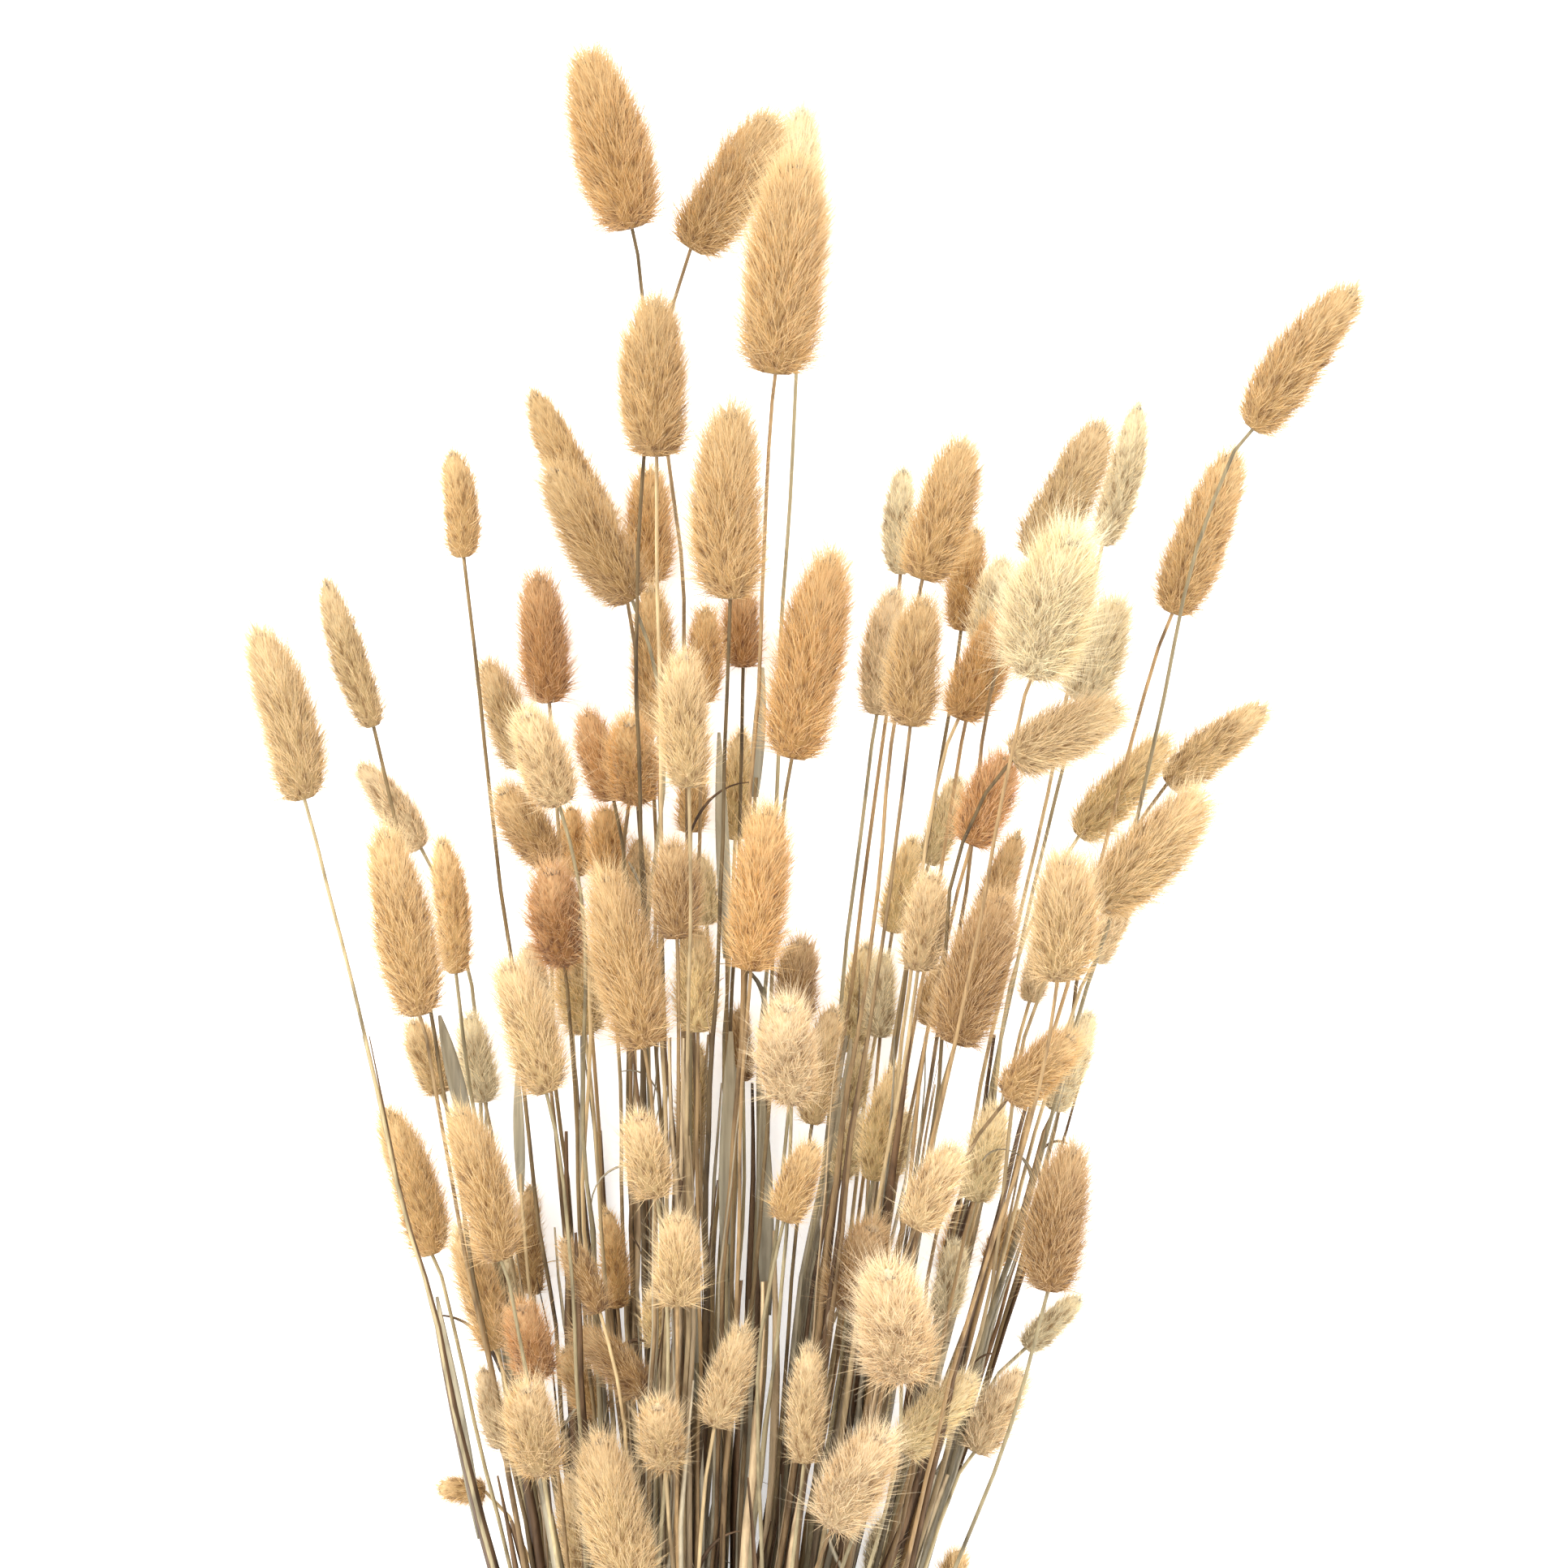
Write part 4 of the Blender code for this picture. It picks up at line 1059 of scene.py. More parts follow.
class Tree:
    """A geometry node tree with named inputs, which ends in real geometry with a material."""

    def __init__(self, name: str, inputs: dict[str, tuple[str, ...]]) -> None:
        """Starts the tree.

        Args:
            name: The tree's name.
            inputs: The names of its inputs, by the kind of socket that they have.
        """
        self.tree = bpy.data.node_groups.new(name, "GeometryNodeTree")
        sides = {"Geometry": ("Geometry",), **inputs, "Material": ("Material",)}
        for kind, labels in sides.items():
            for label in labels:
                self.tree.interface.new_socket(label, in_out="INPUT", socket_type=f"NodeSocket{kind}")
        self.tree.interface.new_socket("Geometry", in_out="OUTPUT", socket_type="NodeSocketGeometry")
        self.graph = Graph(self.tree)
        self.given = self.graph.add("NodeGroupInput").outputs

    def position(self) -> Socket:
        """Where each point is."""
        return self.graph.add("GeometryNodeInputPosition").outputs[0]

    def line(self, tilt: Socket, step: Socket | None = None) -> Socket:
        """Turns the given edges into curves.

        Args:
            tilt: How far the sweep is rolled about its line.
            step: How far apart the curves' points get, or None to leave them.

        Returns:
            The curves.
        """
        curve = self.graph.add("GeometryNodeMeshToCurve", {"Mesh": self.given["Geometry"]}).outputs[0]
        if step:
            inputs = {"Curve": curve, "Length": step}
            curve = self.graph.add("GeometryNodeResampleCurve", inputs, mode="LENGTH").outputs[0]
        return self.graph.add("GeometryNodeSetCurveTilt", {"Curve": curve, "Tilt": tilt}).outputs[0]

    def swept(self, curve: Socket, profile: Socket, size: Socket) -> Socket:
        """Sweeps a closed outline along curves, with closed ends.

        Args:
            curve: The curves.
            profile: The outline.
            size: How large the outline is.

        Returns:
            The mesh.
        """
        inputs = {"Curve": curve, "Profile Curve": profile, "Scale": size, "Fill Caps": True}
        mesh = self.graph.add("GeometryNodeCurveToMesh", inputs).outputs[0]
        return self.graph.add("GeometryNodeSetShadeSmooth", {"Geometry": mesh}).outputs[0]

    def finished(self, geometry: Socket) -> bpy.types.NodeTree:
        """Makes all of a geometry real, gives it the material and ends the tree.

        Args:
            geometry: What the tree has made.

        Returns:
            The tree.
        """
        real = self.graph.add("GeometryNodeRealizeInstances", {"Geometry": geometry}).outputs[0]
        inputs = {"Geometry": real, "Material": self.given["Material"]}
        dressed = self.graph.add("GeometryNodeSetMaterial", inputs).outputs[0]
        self.graph.add("NodeGroupOutput", {0: dressed})
        return self.tree


def hair_tree() -> bpy.types.NodeTree:
    """Builds the tree that grows tapered hairs on a surface.

    A hair leans between the surface's normal and the axis attribute, more so further along. Its length
    follows the girth attribute. A share of the hairs is longer, finer and wilder and makes the pale halo. Each
    hair carries reach, from 0 at its root to 1 at its tip, shade, which differs by hair, and halo.

    Returns:
        The tree.
    """
    sizes = ("Density", "Denser Along", "Length", "Thickness", "Spread", "Lean", "Lean Along", "Jitter")
    sizes += ("Halo Share", "Halo Length", "Lowest")
    tree = Tree("fine_hairs", {"Float": sizes, "Int": ("Seed",)})
    graph, given = tree.graph, tree.given

    def grows(factor: Socket, most: object) -> Socket:
        """Goes from 1 to the most as the factor goes from 0 to 1."""
        return graph.math("MULTIPLY_ADD", factor, graph.math("SUBTRACT", most, 1.0), 1.0)

    along = graph.carried("along")
    density = graph.product(given["Density"], grows(along, given["Denser Along"]))
    inputs = {"Mesh": given["Geometry"], "Density": density, "Seed": given["Seed"]}
    scatter = graph.add("GeometryNodeDistributePointsOnFaces", inputs, distribute_method="RANDOM").outputs
    halo = graph.math("LESS_THAN", graph.random((0.0, 1.0), Draw.HALO), given["Halo Share"])

    outward = graph.product(graph.math("MULTIPLY_ADD", along, -CLOSER_AT_TIP, 1.0), given["Spread"])
    forward = graph.math("MULTIPLY_ADD", along, given["Lean Along"], given["Lean"])
    jitter = graph.product(given["Jitter"], grows(halo, HALO_WILDER))
    inputs = {0: (-1, -1, -1), 1: (1, 1, 1), "Seed": Draw.WILD}
    wild = graph.add("FunctionNodeRandomValue", inputs, data_type="FLOAT_VECTOR").outputs[0]
    leaning = graph.scaled(graph.carried("axis", "FLOAT_VECTOR"), forward)
    heading = graph.summed(graph.scaled(scatter["Normal"], outward), leaning)
    heading = graph.summed(heading, graph.scaled(wild, jitter))
    turn = graph.add("FunctionNodeAlignRotationToVector", {"Vector": heading}, axis="Z").outputs[0]

    reaching = graph.product(halo, graph.math("POWER", graph.random(HALO_REACHES, Draw.REACH), 2.0))
    length = graph.product(given["Length"], graph.carried("girth"))
    length = graph.product(length, grows(reaching, given["Halo Length"]))
    length = graph.product(length, graph.random(HAIR_LENGTHS, Draw.LENGTH))
    width = graph.product(given["Thickness"], graph.random(HAIR_WIDTHS, Draw.WIDTH))
    width = graph.product(width, grows(halo, HALO_WIDTH))

    inputs = {"Vertices": 3, "Radius Top": 0.0, "Radius Bottom": 1.0, "Depth": 1.0}
    spike = graph.add("GeometryNodeMeshCone", inputs, fill_type="NONE").outputs["Mesh"]
    spike = graph.stored(spike, "reach", graph.parts(tree.position())["Z"])
    roots = graph.stored(scatter["Points"], "shade", graph.random((0.0, 1.0), Draw.SHADE))
    roots = graph.stored(roots, "halo", halo)
    size = graph.point(width, width, length)
    inputs = {"Points": roots, "Instance": spike, "Rotation": turn, "Scale": size}
    hairs = graph.add("GeometryNodeInstanceOnPoints", inputs).outputs[0]
    hairs = graph.add("GeometryNodeRealizeInstances", {"Geometry": hairs}).outputs[0]
    place = graph.parts(tree.position())
    above = graph.math("MAXIMUM", place["Z"], given["Lowest"])
    hairs = graph.moved(hairs, graph.point(place["X"], place["Y"], above))
    joined = graph.add("GeometryNodeJoinGeometry")
    for geometry in (hairs, given["Geometry"]):
        graph.feed(joined.inputs[0], geometry)
    return tree.finished(joined.outputs[0])


def sweep_tree() -> bpy.types.NodeTree:
    """Builds the tree that sweeps a stem or a folded ribbon along lines.

    The lines carry thickness, half as wide as the sweep is, and turn, how far it is rolled about its line.

    Returns:
        The tree.
    """
    tree = Tree("swept_lines", {"Int": ("Sides",), "Float": ("Flatness", "Fold")})
    graph, given = tree.graph, tree.given
    inputs = {"Resolution": given["Sides"], "Radius": 1.0}
    circle = graph.add("GeometryNodeCurvePrimitiveCircle", inputs).outputs[0]
    place = graph.parts(tree.position())
    flat = graph.product(place["Y"], given["Flatness"])
    bent = graph.math("MULTIPLY_ADD", graph.math("ABSOLUTE", place["X"]), given["Fold"], flat)
    profile = graph.moved(circle, graph.point(place["X"], bent, 0.0))
    return tree.finished(tree.swept(tree.line(graph.carried("turn")), profile, graph.carried("thickness")))


def twist_tree() -> bpy.types.NodeTree:
    """Builds the tree that lays three strands into twine along lines.

    Returns:
        The tree.
    """
    tree = Tree("laid_twine", {"Float": ("Radius", "Lay", "Step")})
    graph, given = tree.graph, tree.given
    run = graph.add("GeometryNodeSplineParameter").outputs
    circle = graph.add("GeometryNodeCurvePrimitiveCircle", {"Resolution": 12, "Radius": 1.0}).outputs[0]
    wave = graph.math("COSINE", graph.product(run["Factor"], STRANDS * math.tau))
    bulge = graph.math("MULTIPLY_ADD", wave, STRAND_BULGE, 1.0 - STRAND_BULGE)
    lobes = graph.moved(circle, graph.scaled(tree.position(), bulge))
    # ridge runs from 0 in the grooves between the strands to 1 on their crowns, and the material paints shade
    # in the grooves by it
    lobes_with_groove_shade = graph.stored(lobes, "ridge", graph.math("MULTIPLY_ADD", wave, 0.5, 0.5))
    tilt = graph.product(graph.math("DIVIDE", run["Length"], given["Lay"]), math.tau)
    return tree.finished(tree.swept(tree.line(tilt, given["Step"]), lobes_with_groove_shade, given["Radius"]))


def smooth_line(points: np.ndarray, step: float) -> np.ndarray:
    """Draws a smooth curve through points.

    Args:
        points: One row for each point.
        step: How far apart the new points are, about.

    Returns:
        The curve's points.
    """
    padded = np.vstack((2 * points[0] - points[1], points, 2 * points[-1] - points[-2]))
    made = []
    for before, start, end, after in zip(padded, padded[1:], padded[2:], padded[3:]):
        count = max(1, int(np.linalg.norm(end - start) / step + 0.5))
        for t in np.arange(count) / count:
            bend = 2 * before - 5 * start + 4 * end - after
            sway = 3 * (start - end) + after - before
            made.append(start + 0.5 * t * (end - before + t * (bend + t * sway)))
    made.append(points[-1])
    return np.array(made)


@dataclass
class Lines:
    """Lines that something is swept along, with what each of their points carries."""

    points: list[np.ndarray] = field(default_factory=list)
    edges: list[tuple[int, int]] = field(default_factory=list)
    values: dict[str, list[np.ndarray]] = field(default_factory=dict)
    count: int = 0

    def add(self, points: np.ndarray, closed: bool = False, **values: np.ndarray) -> None:
        """Adds a line.

        Args:
            points: Its points, in millimetres.
            closed: True to join its ends.
            values: What its points carry, one number each.
        """
        ends = range(self.count, self.count + len(points))
        self.edges += list(zip(ends, ends[1:]))
        if closed:
            self.edges.append((ends[-1], ends[0]))
        self.points.append(points)
        self.count += len(points)
        for name, numbers in values.items():
            self.values.setdefault(name, []).append(numbers)

    def object(self, name: str) -> bpy.types.Object:
        """Makes an object of the lines.

        Args:
            name: The object's name.

        Returns:
            The object.
        """
        made = mesh_object(name, np.vstack(self.points), edges=self.edges)
        for label, numbers in self.values.items():
            stamp(made.data, label, np.concatenate(numbers))
        return made


def square_axes(along: np.ndarray) -> tuple[np.ndarray, np.ndarray, np.ndarray]:
    """Finds directions square to a head or a blade.

    Args:
        along: The way it runs.

    Returns:
        Forwards, sideways and up, each one long.
    """
    forward = along / np.linalg.norm(along)
    side = np.cross(forward, (0.0, 0.0, 1.0))
    side /= np.linalg.norm(side)
    return forward, side, np.cross(side, forward)


@dataclass
class Bunch:
    """Every stem of the bunch, settled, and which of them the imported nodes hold."""

    culms: list[Culm] = field(init=False)
    rods: list[Rod] = field(init=False)
    fan: Fan = field(init=False)
    cuts: list[float] = field(init=False)
    lines: list[np.ndarray] = field(init=False)
    cut_spread: float = 2.5
    step: float = 10.0
    wander: float = 0.7
    into_head: float = 0.15
    long_waves: Span = (70.0, 130.0)
    short_waves: Span = (30.0, 55.0)

    def __post_init__(self) -> None:
        """Settles the stems, draws where each rod is cut, and draws each stem's line."""
        self.culms = [Culm(row, is_leaf=False) for row in HEADS] + [Culm(row, is_leaf=True) for row in LEAVES]
        self.rods = sort_into_rods(self.culms)
        self.fan = Fan(self.culms, self.rods)
        draw = np.random.default_rng(SEED)
        self.cuts = [-CUT_LENGTH + CUT_UNEVEN * draw.uniform(-1, 1) for _ in self.rods]
        draw = np.random.default_rng(SEED + 1)
        self.lines = [self.line(i, draw) for i in range(len(self.culms))]

    def line(self, i: int, draw: np.random.Generator) -> np.ndarray:
        """A stem's middle line, from its cut end into its head, a little wavy where it is free.

        Args:
            i: The stem's number.
            draw: The source of random draws.

        Returns:
            Its points.
        """
        culm, neck = self.culms[i], self.fan.neck[i]
        cut = self.cuts[self.fan.rod_of[i]] + draw.uniform(0, self.cut_spread)
        course = np.vstack((self.fan.course(i, cut), neck + self.into_head * culm.along))
        line = smooth_line(course, self.step)
        free = np.sin(math.pi * np.clip(line[:, 1] / neck[1], 0, 1))
        for axis, share in ((0, 1.0), (2, 0.5)):
            long, short = draw.uniform(*self.long_waves), draw.uniform(*self.short_waves)
            wave = np.sin(math.tau * (line[:, 1] / long + draw.uniform()))
            wave += 0.4 * np.sin(math.tau * (line[:, 1] / short + draw.uniform()))
            line[:, axis] += self.wander * share * free * wave
        return line

    def node_of(self, i: int) -> str:
        """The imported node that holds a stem."""
        return f"spray_{self.fan.rod_of[i] + 1:02d}"

    def nodes_of(self, members: list[int]) -> list[str]:
        """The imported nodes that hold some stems, each once."""
        return sorted({self.node_of(i) for i in members})


@dataclass
class Plumes:
    """The soft flower heads: a lumpy core of florets under fine hairs, one piece for each tone."""

    bunch: Bunch
    hairs: bpy.types.NodeTree
    core_fill: float = 0.76
    core_length: float = 0.91
    sides: int = 14
    lump: float = 0.05
    floret_ridge: float = 0.05
    bow: float = 0.035
    girths: Span = (0.88, 1.14)
    tint_and_crown_shades: Span = (0.72, 1.0)
    # Painted shade on heads high up the bunch: where along the bunch it starts, over how far it grows, and how
    # much it takes off the tint
    crown_shade_from: float = 330.0
    crown_shade_over: float = 70.0
    crown_painted_shade: float = 0.42
    hairs_per_mm2: float = 2.3
    hair_length: float = 0.30
    hair_radius: float = 0.086
    spread: float = 1.0
    lean: float = 0.60
    lean_along: float = 0.9
    jitter: float = 0.38
    halo_share: float = 0.46
    halo_length: float = 2.3
    denser_along: float = 1.6
    outline: tuple[tuple[float, float], ...] = (
        (0.0, 0.40), (0.03, 0.66), (0.08, 0.84), (0.16, 0.95), (0.27, 1.0), (0.41, 1.0),
        (0.55, 0.96), (0.68, 0.88), (0.79, 0.75), (0.88, 0.57), (0.95, 0.34),
    )

    def build(self) -> list[bpy.types.Object]:
        """Builds the heads of every tone."""
        return [self.tone_piece(number, tone) for number, tone in enumerate(PLUMES)]

    def tone_piece(self, number: int, tone: Tone) -> bpy.types.Object:
        """Builds the heads of one tone.

        Args:
            number: The tone's number, which seeds its draws.
            tone: The tone.

        Returns:
            The piece.
        """
        members = [i for i, culm in enumerate(self.bunch.culms) if culm.tone is tone]
        draw = np.random.default_rng(FIRST_TONE_SEED + number)
        points, faces, carried = [], [], {}
        for i in members:
            culm, neck = self.bunch.culms[i], self.bunch.fan.neck[i]
            rings = self.core(culm, neck, draw)
            faces.extend(self.core_faces(len(points)))
            points.extend(rings)
            share = (np.arange(len(rings)) // self.sides + 0.5) / len(self.outline)
            forward, side, up = square_axes(culm.along)
            # Heads high up the bunch get painted shade, a darker tint, save for the cream and sage tones
            crown_shade = np.clip((neck[1] - self.crown_shade_from) / self.crown_shade_over, 0, 1) * (tone not in TONES_WITHOUT_CROWN_SHADE)
            values = {
                "axis": [forward] * len(rings),
                "along": np.minimum(share, 1.0),
                "girth": [culm.width * MM * draw.uniform(*self.girths)] * len(rings),
                "tint_and_crown_shade": [draw.uniform(*self.tint_and_crown_shades) - self.crown_painted_shade * crown_shade] * len(rings),
                "local": (rings - neck) @ np.column_stack((side, up, forward)) * MM + number,
                "reach": [0.0] * len(rings),
                "shade": [0.5] * len(rings),
                "halo": [0.0] * len(rings),
            }
            for name, numbers in values.items():
                carried.setdefault(name, []).extend(numbers)
        piece = mesh_object(f"heads_{tone.value}", np.array(points), faces=faces)
        for name, numbers in carried.items():
            stamp(piece.data, name, np.array(numbers))
        grown(piece, self.hairs, self.hair_sizes() | {"Seed": number, "Material": PLUMES[tone].material()})
        return fastened(piece, self.bunch.nodes_of(members))

    def hair_sizes(self) -> dict[str, float]:
        """What the tree of hairs gets for every head.

        Returns:
            The values of its inputs, by name.
        """
        return {
            "Density": self.hairs_per_mm2 / MM**2, "Denser Along": self.denser_along,
            "Length": self.hair_length, "Thickness": self.hair_radius * MM, "Spread": self.spread,
            "Lean": self.lean, "Lean Along": self.lean_along, "Jitter": self.jitter,
            "Halo Share": self.halo_share, "Halo Length": self.halo_length, "Lowest": LOWEST_HAIR * MM,
        }

    def core(self, culm: Culm, neck: np.ndarray, draw: np.random.Generator) -> np.ndarray:
        """The points of a head's core, ring by ring, and its two ends.

        Args:
            culm: The head's stem.
            neck: Where the head starts.
            draw: The source of random draws.

        Returns:
            One row for each point.
        """
        _, side, up = square_axes(culm.along)
        angles = math.tau * np.arange(self.sides) / self.sides
        spokes = np.cos(angles)[:, None] * side + np.sin(angles)[:, None] * up
        phases = math.tau * draw.uniform(size=3)
        bow = self.bow * draw.uniform(-1, 1) * np.linalg.norm(culm.along) * side
        rings = []
        for number, (share, swell) in enumerate(self.outline):
            ridge = self.floret_ridge * np.cos(math.pi * (np.arange(self.sides) + number))
            lumps = np.sin(9 * share + phases[0] + 2 * angles) + np.sin(15 * share + phases[1] - 3 * angles)
            radius = 0.5 * culm.width * self.core_fill * swell * (1 + ridge + self.lump * lumps)
            centre = neck + culm.along * (0.01 + self.core_length * share) + bow * math.sin(math.pi * share)
            rings.append(centre + spokes * radius[:, None])
        rings.append((neck + culm.along * 0.005)[None, :])
        rings.append((neck + culm.along * (0.02 + self.core_length))[None, :])
        return np.vstack(rings)

    def core_faces(self, first: int) -> list[tuple[int, ...]]:
        """The faces of a core.

        Args:
            first: The number of its first point.

        Returns:
            The corners of each face.
        """
        sides, rows = self.sides, len(self.outline)
        low, high = first + sides * rows, first + sides * rows + 1
        made = []
        for j in range(sides):
            k = (j + 1) % sides
            made.append((low, first + j, first + k)[::-1])
            for row in range(rows - 1):
                base = first + row * sides
                made.append((base + j, base + k, base + sides + k, base + sides + j)[::-1])
            last = first + (rows - 1) * sides
            made.append((high, last + k, last + j)[::-1])
        return made


@dataclass
class Swept:
    """What the stems and the husks have in common: lines of several finishes, swept into a piece for each."""

    finishes: ClassVar[dict[StrawFinish, float]] = {}
    seed: ClassVar[int] = 0
    sides: ClassVar[int] = 0
    flatness: ClassVar[float] = 1.0
    fold: ClassVar[float] = 0.0
    bunch: Bunch
    tree: bpy.types.NodeTree
    joints: dict[int, float] = field(default_factory=dict)

    def __post_init__(self) -> None:
        """Starts with no lines, and starts the random draws."""
        self.groups = [Lines() for _ in self.finishes]
        self.draw = np.random.default_rng(self.seed)

    def drawn_group(self) -> Lines:
        """Draws a finish by its share, and gives its lines."""
        return self.groups[int(self.draw.choice(len(self.groups), p=list(self.finishes.values())))]

    def pieces(self) -> list[bpy.types.Object]:
        """Sweeps the lines of each finish.

        Returns:
            One piece for each finish.
        """
        everything = self.bunch.nodes_of(list(range(len(self.bunch.culms))))
        made = []
        for finish, lines in zip(self.finishes, self.groups):
            piece = lines.object(finish.name + "s")
            values = {"Sides": self.sides, "Flatness": self.flatness, "Fold": self.fold}
            grown(piece, self.tree, values | {"Material": finish.material()})
            made.append(fastened(piece, everything))
        return made


@dataclass
class Stems(Swept):
    """The cut stems, each from its cut end through the tie and into its head."""

    finishes: ClassVar[dict[StrawFinish, float]] = STEM_FINISHES
    seed: ClassVar[int] = 41
    sides: ClassVar[int] = 5
    slimmer: float = 0.80
    sheath: float = 1.35
    joint: float = 0.25
    joint_reach: float = 3.0
    joint_places: Span = (0.4, 0.75)
    shades: Span = (0.15, 1.0)

    def build(self) -> list[bpy.types.Object]:
        """Builds the stems.

        Returns:
            One piece for each finish.
        """
        for i in range(len(self.bunch.culms)):
            self.add_stem(i, self.drawn_group())
        return self.pieces()

    def add_stem(self, i: int, lines: Lines) -> None:
        """Adds one stem's line, and draws where its joint is.

        Args:
            i: The stem's number.
            lines: Where it goes.
        """
        culm, line, neck_y = self.bunch.culms[i], self.bunch.lines[i], self.bunch.fan.neck[i, 1]
        up = np.clip(line[:, 1] / neck_y, 0, 1)
        self.joints[i] = neck_y * self.draw.uniform(*self.joint_places)
        radius = np.array([culm.stem_radius(y) for y in line[:, 1]]) * self.slimmer
        wrapped = line[:, 1] < self.joints[i]
        near = np.exp(-(((line[:, 1] - self.joints[i]) / self.joint_reach) ** 2))
        radius *= 1 + (self.sheath - 1) * (wrapped & (line[:, 1] > 0)) + self.joint * near
        shade = np.clip(self.draw.uniform(*self.shades) - 0.12 * wrapped - 0.3 * near, 0, 1)
        reach = np.clip(0.15 + 1.1 * up, 0, 1)
        lines.add(line, thickness=radius * MM, reach=reach, shade=shade, turn=np.zeros(len(line)))


@dataclass
class Husks(Swept):
    """Dried leaf sheaths that run up beside the stems, and short curled shreds at the stems' joints."""

    finishes: ClassVar[dict[StrawFinish, float]] = HUSK_FINISHES
    seed: ClassVar[int] = 77
    sides: ClassVar[int] = 4
    flatness: ClassVar[float] = 0.16
    fold: ClassVar[float] = 0.35
    shares: tuple[float, ...] = (0.92, 0.85, 0.60)
    shred_share: float = 0.4
    starts: Span = (8.0, 60.0)
    ends: Span = (0.35, 0.97)
    highest: float = 300.0
    half_widths: Span = (0.7, 2.1)
    offset: float = 2.2
    curl: float = 4.0
    free_from: float = 0.6
    lowest: float = 1.2
    shred_lengths: Span = (8.0, 25.0)
    shred_points: int = 12

    def build(self) -> list[bpy.types.Object]:
        """Builds the husks and the shreds.

        Returns:
            One piece for each finish.
        """
        kinds = [(self.add_husk, share) for share in self.shares] + [(self.add_shred, self.shred_share)]
        for i in range(len(self.bunch.culms)):
            for adds, share in kinds:
                group = self.drawn_group()
                if self.draw.uniform() < share:
                    adds(i, group)
        return self.pieces()

    def add_husk(self, i: int, lines: Lines) -> None:
        """Adds a long husk beside a stem.

        Args:
            i: The stem's number.
            lines: Where it goes.
        """
        draw, stem = self.draw, self.bunch.lines[i]
        start = draw.uniform(*self.starts)
        end = min(self.highest, self.bunch.fan.neck[i, 1] * draw.uniform(*self.ends))
        line = stem[(stem[:, 1] > start) & (stem[:, 1] < end)].copy()
        if len(line) < 4:
            return
        share = np.linspace(0, 1, len(line))
        away = (draw.uniform(-1, 1) * self.offset, draw.uniform(-1.8, 0.4) * self.offset)
        loose = np.maximum(0, share - self.free_from)[:, None] ** 2 / (1 - self.free_from) ** 2
        bend = draw.uniform(-1, 1, 2) * self.curl * loose
        line[:, 0] += away[0] * np.sqrt(share) + bend[:, 0]
        line[:, 2] = np.maximum(self.lowest, line[:, 2] + away[1] * np.sqrt(share) + bend[:, 1] * 0.6)
        taper = np.clip(np.sin(math.pi * (0.12 + 0.86 * share)), 0.12, 1) ** 0.6
        half = draw.uniform(*self.half_widths) * taper
        turn = draw.uniform(0, math.tau) + draw.uniform(-2.2, 2.2) * share
        shade = np.full(len(line), draw.uniform(0.1, 1.0))
        lines.add(line, thickness=half * MM, turn=turn, reach=share, shade=shade)

    def add_shred(self, i: int, lines: Lines) -> None:
        """Adds a short curled shred at a stem's joint.

        Args:
            i: The stem's number.
            lines: Where it goes.
        """
        draw, stem = self.draw, self.bunch.lines[i]
        root = stem[int(np.argmin(np.abs(stem[:, 1] - self.joints[i])))]
        length, bends = draw.uniform(*self.shred_lengths), draw.uniform(-2.6, 2.6)
        share = np.linspace(0, 1, self.shred_points)
        angle = draw.uniform(-0.5, 0.5) + bends * share**1.5
        step = length / (len(share) - 1)
        run = np.column_stack((np.sin(angle), np.cos(angle), draw.uniform(-0.5, 0.5) * np.sin(angle))) * step
        line = root + np.vstack(((0, 0, 0), np.cumsum(run, axis=0)[:-1]))
        line[:, 2] = np.maximum(self.lowest, line[:, 2])
        half = draw.uniform(0.35, 1.1) * (1 - 0.75 * share)
        turn = draw.uniform(0, math.tau) + draw.uniform(-3, 3) * share
        shade = np.full(len(share), draw.uniform(0, 0.8))
        lines.add(line, thickness=half * MM, turn=turn, reach=share, shade=shade)


